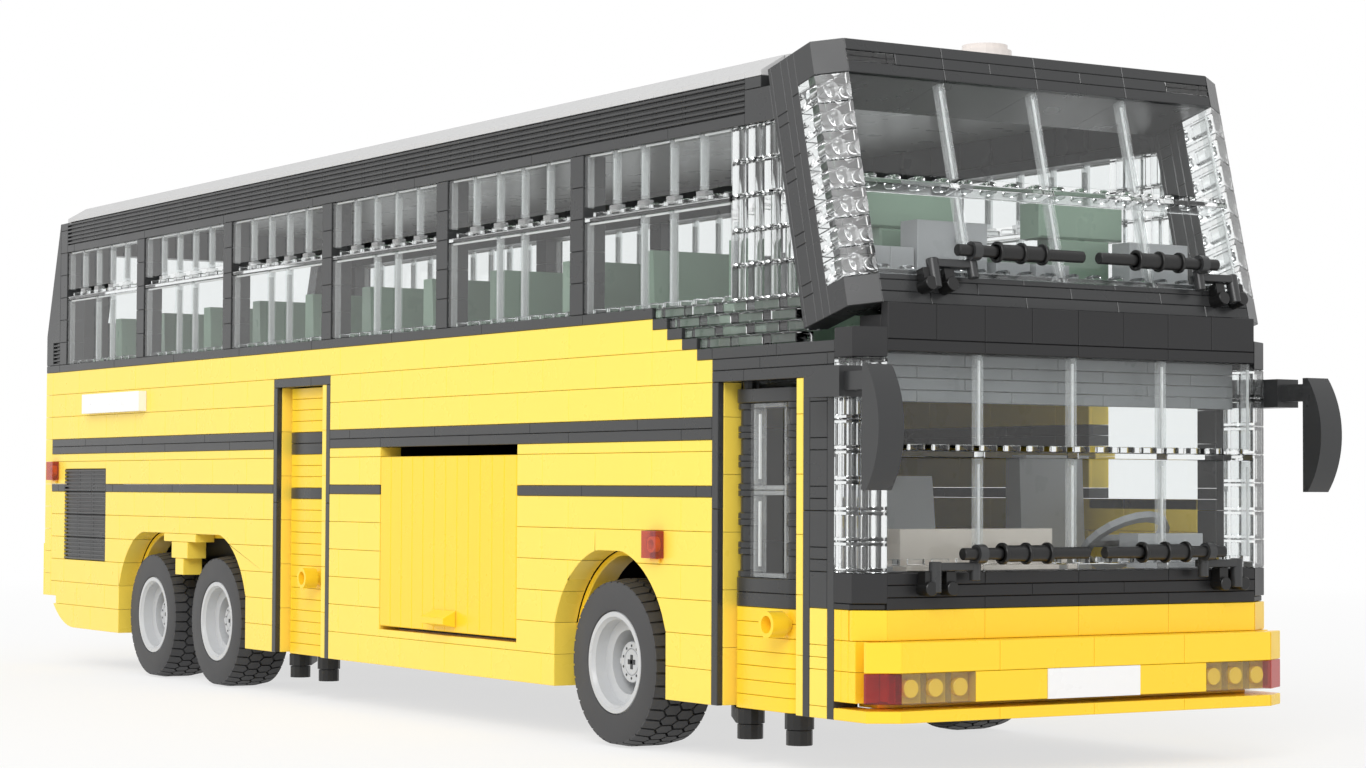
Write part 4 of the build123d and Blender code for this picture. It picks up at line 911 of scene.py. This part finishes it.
screen.build("screen_panes", CLEAR, "windscreens")
screen_rims.build("screen_edges", EDGE_PAINTED_HIGHLIGHT)
screen_glints.build("screen_glints", PAINTED_GLINT)
screen_bars.build("screen_bars", CLEAR_BRICK)

# Luggage hatches of upright planks, with a handle in millimetres outwards and up
PLANKS = 12
HANDLE = ((0, 1.6), (4.8, 2.8), (4.8, 4.8), (0, 7.2))
for side, name in SIDES:
    hatch = Heap()
    low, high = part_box(f"{name}_hatch")
    y = (side * (INNER + 0.3 * MM), side * HALF_WIDTH)
    width = (high.x - low.x) / PLANKS
    for plank in range(PLANKS):
        x = low.x + plank * width
        hatch.block((x, x + width), y, (low.z, high.z), edge=0.3 * MM, seam=0.09 * MM)
    handle = [(side * (HALF_WIDTH + out * MM), low.z + up * MM) for out, up in HANDLE]
    hatch.prism(handle, 0, *span_x(45, 47))
    hatch.build(f"{name}_hatch_planks", YELLOW_PAINTED_SHADE, f"{name}_hatch", body=f"{name}_hatch_leaf")

# Doors: stacks of thin beams with round ends, on axles at the second and fifth stud
ROW = PITCH / 2
DOOR_Y = -INNER
DOOR_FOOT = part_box("front_door")[0].z
DOOR_AXLES = (1, 4)
# Bush on an axle, in millimetres: radius and height
BUSH = ((0.2, 0), (3.6, 0.1), (3.6, 1.6), (2.9, 2), (2.9, 6), (3.6, 6.4), (3.6, 7.9), (0.2, 8))
BUSHES = 6
BUSH_ROW = 9
KNOB_OUTER = 3.6 * MM
KNOB_INNER = 2.4 * MM


def beams(heap, door, row, count):
    """Thin beams with round ends, on the two axles of a door."""
    hinge, free = [at(door[0] + stud) for stud in DOOR_AXLES]
    outline = []
    for x, start in ((free, -pi / 2), (hinge, pi / 2)):
        for i in range(9):
            angle = start + pi * i / 8
            outline.append((x + ROW * cos(angle), DOOR_Y + ROW * sin(angle)))
    for i in range(row, row + count):
        z = DOOR_FOOT + i * ROW
        heap.prism(outline, 2, z, z + ROW)


def knob(heap, door, row):
    """Hollow round knob on the free edge of a door."""
    centre = (at(door[0] + DOOR_AXLES[1]), DOOR_FOOT + (row + 1) * ROW)
    face = DOOR_Y - ROW
    heap.ring(centre, 1, KNOB_OUTER, KNOB_INNER, face - 7 * MM, face - 2 * MM, 24)
    heap.round(centre, 1, KNOB_INNER, face - 4 * MM, face)


yellow, dark = Heap(), Heap()
beams(yellow, FRONT_DOOR, 0, 7)
knob(yellow, FRONT_DOOR, 5)
for row, count in ((7, 2), (21, 1)):
    beams(dark, FRONT_DOOR, row, count)
for stud in DOOR_AXLES:
    for bush in range(BUSHES):
        z = DOOR_FOOT + BUSH_ROW * ROW + bush * PITCH
        section = [(radius * MM, z + up * MM) for radius, up in BUSH]
        dark.turn(section, (at(FRONT_DOOR[0] + stud), DOOR_Y), 2, 20)
yellow.build("front_door_beams", YELLOW_PAINTED_SHADE, "front_door", body="front_door_leaf")
dark.build("front_door_bushes", DARK, "front_door_frame", body="front_door_leaf")

yellow, dark = Heap(), Heap()
for heap, row, count in ((yellow, 0, 14), (dark, 14, 1), (yellow, 15, 3), (dark, 18, 2), (yellow, 20, 4)):
    beams(heap, REAR_DOOR, row, count)
knob(yellow, REAR_DOOR, 6)
yellow.build("rear_door_beams", YELLOW_PAINTED_SHADE, "rear_door", body="rear_door_leaf")
dark.build("rear_door_dark_beams", DARK, "rear_door_bands", body="rear_door_leaf")

# Clear panel of the front door: two stacked panels with edges made pale by painted highlight, a painted glint
# on each, and a bar between them
PANEL_RIM = 1.4 * MM
GLINT_PLACE = 2.4 * MM
GLINT_END = 3 * MM
low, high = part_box("front_door_glass")
glass, glass_edges, glass_glints = Heap(), Heap(), Heap()
back = low.y + PANE_WALL
for foot, head in pairwise((low.z, mid((low.z, high.z)), high.z)):
    glass.block((low.x, high.x), (low.y, back), (foot, head))
    for x in ((low.x, low.x + PANE_WALL), (high.x - PANE_WALL, high.x)):
        glass_edges.block(x, (back, high.y - 1 * MM), (foot + PANEL_RIM, head - PANEL_RIM))
    for z in (foot, head - PANEL_RIM):
        glass_edges.block((low.x, high.x), (back, high.y), (z, z + PANEL_RIM))
    x = low.x + GLINT_PLACE
    glass_glints.block((x, x + BRIGHT), (back, back + PANE_WALL), (foot + GLINT_END, head - GLINT_END))
glass.build("front_door_panes", CLEAR, "front_door_glass", body="front_door_leaf")
glass_edges.build("front_door_pane_edges", EDGE_PAINTED_HIGHLIGHT, body="front_door_leaf")
glass_glints.build("front_door_pane_glints", PAINTED_GLINT, body="front_door_leaf")

# Rear wall of bricks with its bumper
rear = Heap()
bumper_x = (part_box("rear_wall")[0].x, at(-1))
for row, low in enumerate(range(4, 34, 3)):
    z = span_z(low, low + 3)
    lamp_row = LAMP_ROWS[0] <= low < LAMP_ROWS[1]
    for first, last in ((-9, -8), (-6, 6), (8, 9)) if lamp_row else ((-9, 9),):
        seams = [stud for stud in range(-9 + 2 * (row % 2), 9, 4) if first < stud < last]
        for studs in pairwise((first, *seams, last)):
            rear.block(span_x(-1, 0), span_y(*studs), z, 0)
    if lamp_row:
        for side in HANDS:
            rear.block((LAMP_FLOOR, at(0)), (side * (INNER - 2 * PITCH), side * INNER), z, 0)
for first in range(-9, 9, 3):
    for levels in pairwise((4, 7.5, 11)):
        rear.block(bumper_x, span_y(first, first + 3), span_z(*levels), 0, edge=0.5 * MM)
rear.build("rear_wall_bricks", YELLOW, "rear_wall")

# Marker lamps: a see-through square over a round stud, with a small ledge under it
MARKERS = ((62.4, 13.75), (0.6, 20.75))
markers, ledges = Heap(), Heap()
for side in HANDS:
    face = side * HALF_WIDTH
    for stud, plates in MARKERS:
        foot = level(plates) - PITCH / 2
        markers.block(span_x(stud - 0.5, stud + 0.5), (face, face + side * 3 * MM), (foot, foot + PITCH))
        centre = (at(stud), level(plates))
        ledges.ring(centre, 1, 2.3 * MM, 1.5 * MM, face, face + side * 2 * MM, 24)
        ledges.block(span_x(stud - 0.3, stud + 0.3), (face, face + side * 1 * MM), (foot - 1.4 * MM, foot))
markers.build("marker_lenses", AMBER, "marker_lamps")
ledges.build("marker_rings", YELLOW)

# Wipers in the front's own axes
WIPER_OUT = 5.6 * MM
WIPER_RADIUS = 1.6 * MM
SLEEVE_RADIUS = 2.2 * MM
SLEEVE = (0.3, 0.68)
FLANGE_RADIUS = 2.9 * MM
FLANGES = (0.3, 0.49, 0.66)
# Place, height, and start, end and outer side of each rod in millimetres
WIPERS = (
    (FLAT_PLACE, WALL_BOTTOM + 43.3 * MM, ((-44, -2, -1), (4, 47, 1))),
    (LEAN_PLACE, 13.5 * MM, ((-41.5, 1.2, -1), (6.8, 49.8, 1))),
)


def wiper(rods, brackets, up, start, end, hook):
    """A rod with a ringed sleeve, and the bracket at its outer end."""
    rod = (up, WIPER_OUT)
    run = end - start
    rods.round(rod, 0, WIPER_RADIUS, start, end)
    rods.round(rod, 0, SLEEVE_RADIUS, start + SLEEVE[0] * run, start + SLEEVE[1] * run, 24)
    for share in FLANGES:
        flange = start + share * run
        rods.round(rod, 0, FLANGE_RADIUS, flange, flange + 1 * MM, 24)
    tip = start if hook < 0 else end
    inner, outer = tip - hook * 7 * MM, tip + hook * 7 * MM
    brackets.ring(rod, 0, 2.5 * MM, 1.5 * MM, inner, inner + hook * 2.6 * MM)
    arm_out = (WIPER_OUT - 4 * MM, WIPER_OUT - 1 * MM)
    brackets.block((inner, outer), (up - 4.4 * MM, up - 2.2 * MM), arm_out)
    pin = (inner + hook * 1.3 * MM, WIPER_OUT - 2 * MM)
    brackets.round(pin, 1, 1.5 * MM, up - 7 * MM, up - 1.5 * MM, 16)
    pin = (outer, WIPER_OUT - 2.4 * MM)
    brackets.round(pin, 1, 1.7 * MM, up - 10 * MM, up - 2 * MM, 16)
    for peg in (outer - hook * 5 * MM, outer + hook * 2 * MM):
        rods.round((peg, up - 9 * MM), 2, 1.9 * MM, -0.5 * MM, arm_out[1], 16)
        rods.block((peg - 1.6 * MM, peg + 1.6 * MM), (up - 9 * MM, up - 4.4 * MM), (0.4 * MM, 3.6 * MM))


wipers, wiper_arms = Heap(), Heap()
for place, up, spans in WIPERS:
    rods, arms = Heap(place), Heap(place)
    for start, end, hook in spans:
        wiper(rods, arms, up, start * MM, end * MM, hook)
    wipers.merge(rods)
    wiper_arms.merge(arms)
wipers.build("wiper_rods", BLACK, "wipers")
wiper_arms.build("wiper_brackets", DARK)

# What shows through the windscreens: visor rows, shelf, consoles and seats
SOFT_EDGE = 0.6 * MM
VISOR_X = (FRONT_X - 12 * MM, FRONT_X - 8.8 * MM)
visor = Heap()
for low, seam in ((26, -6), (27, -4), (28, -6), (29, -4)):
    for studs in bond(seam):
        visor.block(VISOR_X, span_y(*studs), span_z(low, low + 1), 0)
visor.block((at(69.5), FRONT_X - 12.8 * MM), span_y(-7, 7), span_z(34.2, 35), 2)
visor.build("visor_plates", MID_GREY)

# Consoles on the upper deck: from and to across in millimetres, and the level of the top
CONSOLES = ((-56, -48, 39.2), (-48, -40, 39.2), (-39, -15, 41.6), (-12, 0, 38.4), (2, 14, 38.4), (36, 58, 40.8))
# Front seats of the lower deck: from and to across in millimetres
LOWER_SEATS = ((-50, -28), (-24, -2))
FLOOR_TOP = AXLE_Z + PITCH / 2 + PLATE
SEAT_FEET = [(at(66.4), FLOOR_TOP), (at(68.4), FLOOR_TOP)]
SEAT_BACK = grid((69.2, 9), (69.2, 11), (67.6, 11), (67.2, 20), (66.4, 20))
console = Heap()
for y0, y1, high in CONSOLES:
    console.brick((71.4, 72.4), (y0 * MM, y1 * MM), (35, high), 0)
for y0, y1 in LOWER_SEATS:
    console.prism([*SEAT_FEET, *SEAT_BACK], 1, y0 * MM, y1 * MM, edge=SOFT_EDGE)
console.round((-24 * MM, level(40)), 0, STUD_RADIUS, *span_x(72.4, 72.6))
console.build("front_consoles", GREY)

front_seats = Heap()
for side in HANDS:
    wide = (side * 15 * MM, side * 46 * MM)
    narrow = (side * 20 * MM, side * 41 * MM)
    front_seats.brick((69.4, 70.6), wide, (41.2, 44.4), 0, edge=SOFT_EDGE)
    front_seats.brick((69.6, 70.6), narrow, (33, 41.2), 0, edge=SOFT_EDGE)
    front_seats.brick((69.4, 71.6), wide, (29, 33), 2, edge=SOFT_EDGE)
front_seats.build("front_upper_seats", GREEN)
shelf_bar = Heap()
shelf_bar.brick((72.5, 73.3), (-50 * MM, 2 * MM), (12, 15.5), 0)
shelf_bar.build("dash_bar", CREAM)

# Yellow liners inside the wheel arches, in the darker yellow that paints shade
LINER = 1.6 * MM
LINER_GAP = 0.2 * MM
LINER_STEPS = 40
liner = Heap()
for side in HANDS:
    y = (side * (INNER - PITCH), side * (INNER - 0.1 * MM))
    for first, last in ((FRONT_AXLE, FRONT_AXLE), REAR_AXLES):
        start, end = first - ARCH_HALF + TINY, last + ARCH_HALF - TINY
        marks = [start + (end - start) * i / LINER_STEPS for i in range(LINER_STEPS + 1)]
        outer = [(x, arch(x)) for x in marks]
        middle = mid((start, end))
        shrink = 1 - LINER / (end - start) * 2
        inner = [(middle + (x - middle) * shrink, z - LINER) for x, z in outer]
        liner.prism([*outer, *reversed(inner)], 1, *y, edge=0.3 * MM, seam=0)
        for x in (start - LINER_GAP - LINER, end + LINER_GAP):
            liner.block((x, x + LINER), y, (level(1), arch(start)), seam=0)
liner.build("arch_liners", YELLOW_PAINTED_SHADE)

# Wheels. Depths are measured inwards from the tyre's outer face
TREAD_FLOOR = WHEEL_RADIUS - 1.3 * MM
TREAD_ROOT = 0.6 * MM
TREAD_BLOCKS = 40
TREAD_GAP = 0.34 * MM
ZIGZAG = 0.7 * MM
TREAD_LINES = (0.26 * TYRE_WIDTH, 0.5 * TYRE_WIDTH, 0.74 * TYRE_WIDTH)
SHOULDER = -0.15 * MM
SHOULDER_DROP = 0.9 * MM
# Sections in millimetres: radius and depth
TYRE_SECTION = ((15.2, 0.5), (15.5, 0.1), (23.0, 0.0), (23.5, 0.3), (23.5, 19.7), (23.0, 20), (15.2, 19.5))
RIM_SECTION = (
    *((15.15, 0.7), (14.9, 0.2), (13.5, 0.2), (12.9, 1.1), (12.7, 1.3), (12.6, 5.0)),
    *((9.5, 5.3), (9.3, 14.6), (3.3, 14.6), (3.3, 19.4), (15.15, 19.4)),
)
HUB_SECTION = (
    *((0.05, 6.2), (3.7, 6.2), (3.8, 6.6), (4.05, 6.6), (4.15, 6.2), (5.9, 6.2), (6.1, 6.4)),
    *((6.1, 7.4), (5.2, 7.6), (5.2, 14.6), (3.3, 14.6), (3.3, 9.9), (0.05, 9.9)),
)
HUB_FACE = TYRE_FACE - 6.2 * MM
HUB_HOLES = 10
HUB_HOLE_RADIUS = 0.42 * MM
HUB_HOLE_RING = 4.8 * MM
AXLE_INSET = 10 * MM


def turned(heap, x, side, section, count):
    """Ring about a wheel's axis, from a section in millimetres."""
    places = [(radius * MM, side * (TYRE_FACE - depth * MM)) for radius, depth in section]
    heap.turn(places, (x, AXLE_Z), 1, count)


def tread_block(heap, x, side, outline, phase):
    """One block of tread, from its outline along and across the tread."""
    shape = inset(outline, TREAD_GAP)
    points = []
    for top in (False, True):
        for along, depth in shape:
            edge = min(depth, TYRE_WIDTH - depth)
            drop = SHOULDER_DROP * max(0, 1 - edge / TREAD_LINES[0])
            radius = WHEEL_RADIUS - drop if top else TREAD_FLOOR - TREAD_ROOT
            angle = phase + along / WHEEL_RADIUS
            points.append((x + radius * cos(angle), side * (TYRE_FACE - depth), AXLE_Z + radius * sin(angle)))
    count = len(shape)
    faces = [list(range(count)), list(range(count, 2 * count))]
    faces += [[i, (i + 1) % count, count + (i + 1) % count, count + i] for i in range(count)]
    heap.add(points, faces)


def tread_outlines():
    """Outlines of the four rows of blocks, with the half steps that they are turned by."""
    half = pi * WHEEL_RADIUS / TREAD_BLOCKS
    a, b, c = TREAD_LINES
    far = TYRE_WIDTH - SHOULDER
    z = ZIGZAG
    return (
        (0, [(-half, SHOULDER), (half, SHOULDER), (half, a - z), (0, a + z), (-half, a - z)]),
        (1, [(-half, a + z), (0, a - z), (half, a + z), (half, b - z), (0, b + z), (-half, b - z)]),
        (0, [(-half, b + z), (0, b - z), (half, b + z), (half, c - z), (0, c + z), (-half, c - z)]),
        (1, [(-half, c + z), (0, c - z), (half, c + z), (half, far), (-half, far)]),
    )


def tyre(heap, x, side):
    """Tyre with a flat side wall and rows of five- and six-sided blocks."""
    turned(heap, x, side, TYRE_SECTION, 80)
    for shift, outline in tread_outlines():
        for i in range(TREAD_BLOCKS):
            tread_block(heap, x, side, outline, 2 * pi * (i + shift / 2) / TREAD_BLOCKS)


def cross_axle(heap, x, y, long, thick):
    """Length of cross-shaped axle, its section given in millimetres."""
    for wide, tall in ((long / 2 * MM, thick / 2 * MM), (thick / 2 * MM, long / 2 * MM)):
        heap.block((x - wide, x + wide), y, (AXLE_Z - tall, AXLE_Z + tall))


def hub_marks(heap, x, side):
    """Cross axle end, and dark discs on the hub face as painted shade for its ring of small holes."""
    cross_axle(heap, x, (side * (HUB_FACE - 0.2 * MM), side * (HUB_FACE + 0.2 * MM)), 4.4, 1.6)
    ends = (side * (HUB_FACE - 0.1 * MM), side * (HUB_FACE + 0.1 * MM))
    # Dark discs as painted shade where the hub's holes are
    for i in range(HUB_HOLES):
        angle = 2 * pi * (i + 0.5) / HUB_HOLES
        centre = (x + HUB_HOLE_RING * cos(angle), AXLE_Z + HUB_HOLE_RING * sin(angle))
        heap.round(centre, 1, HUB_HOLE_RADIUS, *ends, 10, 0.05 * MM)


for body, x, tyres, rims, hands in (
    ("front_right_wheel", FRONT_AXLE, "front_right_tyre", "front_right_rim", (RIGHT,)),
    ("front_left_wheel", FRONT_AXLE, "front_left_tyre", "front_left_rim", (LEFT,)),
    ("middle_wheels", REAR_AXLES[1], "middle_tyres", "middle_wheelset", (RIGHT, LEFT)),
    ("rear_wheels", REAR_AXLES[0], "rear_tyres", "rear_wheelset", (RIGHT, LEFT)),
):
    rubber, rim, marks = Heap(), Heap(), Heap()
    for side in hands:
        tyre(rubber, x, side)
        turned(rim, x, side, RIM_SECTION, 64)
        turned(rim, x, side, HUB_SECTION, 48)
        nub = (side * (HUB_FACE - 1.2 * MM), side * HUB_FACE)
        rim.block((x - 7 * MM, x - 5.6 * MM), nub, (AXLE_Z - 0.9 * MM, AXLE_Z + 0.9 * MM))
        hub_marks(marks, x, side)
    if len(hands) == 2:
        cross_axle(marks, x, (AXLE_INSET - TYRE_FACE, TYRE_FACE - AXLE_INSET), 4.8, 1.8)
    rubber.build(f"{body}_tread", RUBBER, tyres, body=body)
    rim.build(f"{body}_rims", RIM_GREY, rims, body=body)
    marks.build(f"{body}_hubs", DARK, body=body)

# Materials of the CAD nodes that are shown as they are; the others of them are dark grey
SHOWN = (
    (BLACK, ("chassis", "luggage_bay", "wheel_housings", "front_door_axles", "rear_door_axles")),
    (BLACK, ("front_right_knuckle", "front_left_knuckle")),
    (GREY, ("driver_seat", "dashboard", "track_rod")),
    (MID_GREY, ("upper_deck",)),
    (DOME, ("roof_dome",)),
    (WHITE, ("sign_plates",)),
    (GREEN, ("upper_seats",)),
)
material_of = {name: material for material, names in SHOWN for name in names}
for name, node in nodes.items():
    node.data.materials.clear()
    node.data.materials.append(material_of.get(name, DARK))

# Stage: pale floor, soft light and the camera of the photo
FLOOR_SIZE = 40
WORLD_LIGHT = 0.75
BACKDROP = 1.0
scene = bpy.context.scene
scene.cycles.max_bounces = 20
scene.cycles.transmission_bounces = 20
scene.cycles.transparent_max_bounces = 48


def seen_directly(tree):
    """Socket that is 1 for rays from the camera, mirrored or through clear pieces, and 0 for lighting."""
    kinds = ("Camera", "Glossy", "Transmission")
    straight, mirrored, through = [shade(tree, "LightPath", output=f"Is {kind} Ray") for kind in kinds]
    either = shade(tree, "Math", {0: straight, 1: mirrored}, operation="MAXIMUM")
    return shade(tree, "Math", {0: either, 1: through}, operation="MAXIMUM")


def floor_paint():
    """Pale floor that keeps a soft shadow near the bus and fades into the white backdrop."""
    material, tree = new_material("floor_paint")
    place = shade(tree, "TexCoord", output="Object")
    reach = shade(tree, "VectorMath", {0: place}, "Value", "LENGTH")
    ends = {"From Min": 0.35, "From Max": 1.4, "To Min": 0.68, "To Max": 1.0}
    fade = shade(tree, "MapRange", {"Value": reach, **ends})
    share = shade(tree, "Math", {0: fade, 1: seen_directly(tree)}, operation="MULTIPLY")
    paint = shade(tree, "BsdfDiffuse", {"Color": (0.9, 0.9, 0.9, 1)})
    glow = shade(tree, "Emission")
    show(tree, "Material", shade(tree, "MixShader", {0: share, 1: paint, 2: glow}))
    return material


bpy.ops.mesh.primitive_plane_add(size=FLOOR_SIZE)
floor = bpy.context.object
floor.name = "floor"
floor.data.materials.append(floor_paint())

world = bpy.data.worlds.new("studio")
scene.world = world
world.use_nodes = True
sky = world.node_tree
sky.nodes.clear()
light = shade(sky, "Background", {"Color": (1, 1, 1, 1), "Strength": WORLD_LIGHT})
plain = shade(sky, "Background", {"Color": (1, 1, 1, 1), "Strength": BACKDROP})
show(sky, "World", shade(sky, "MixShader", {0: seen_directly(sky), 1: light, 2: plain}))


def lamp(name, place, aim, power, size):
    """Soft square light."""
    data = bpy.data.lights.new(name, "AREA")
    data.energy = power
    data.size = size
    holder = bpy.data.objects.new(name, data)
    scene.collection.objects.link(holder)
    holder.location = place
    holder.rotation_euler = (Vector(aim) - Vector(place)).to_track_quat("-Z", "Y").to_euler()


lamp("key", (2.2, -1.9, 1.8), (0, 0, 0.1), power=50, size=1.6)
lamp("side", (-1.4, -2.2, 1.5), (0, 0, 0.15), power=13, size=1.4)

CAMERA = Vector((902.94, -507.93, 76.07)) * MM
YAW = radians(147.873)
PITCH_UP = radians(2.064)
ROLL = radians(0.255)
ahead = Vector((cos(PITCH_UP) * cos(YAW), cos(PITCH_UP) * sin(YAW), sin(PITCH_UP)))
across = Vector((sin(YAW), -cos(YAW), 0))
upward = across.cross(ahead)
rolled = cos(ROLL) * across + sin(ROLL) * upward
raised = -sin(ROLL) * across + cos(ROLL) * upward
camera_data = bpy.data.cameras.new("camera")
camera_data.lens = 76.39
camera_data.sensor_width = 36
camera_data.sensor_fit = "HORIZONTAL"
camera_data.clip_start = 0.01
camera_data.clip_end = 100
camera = bpy.data.objects.new("camera", camera_data)
scene.collection.objects.link(camera)
axes = Matrix((rolled, raised, -ahead)).transposed()
camera.matrix_world = Matrix.Translation(CAMERA) @ axes.to_4x4()
scene.camera = camera
scene.view_settings.view_transform = "Standard"
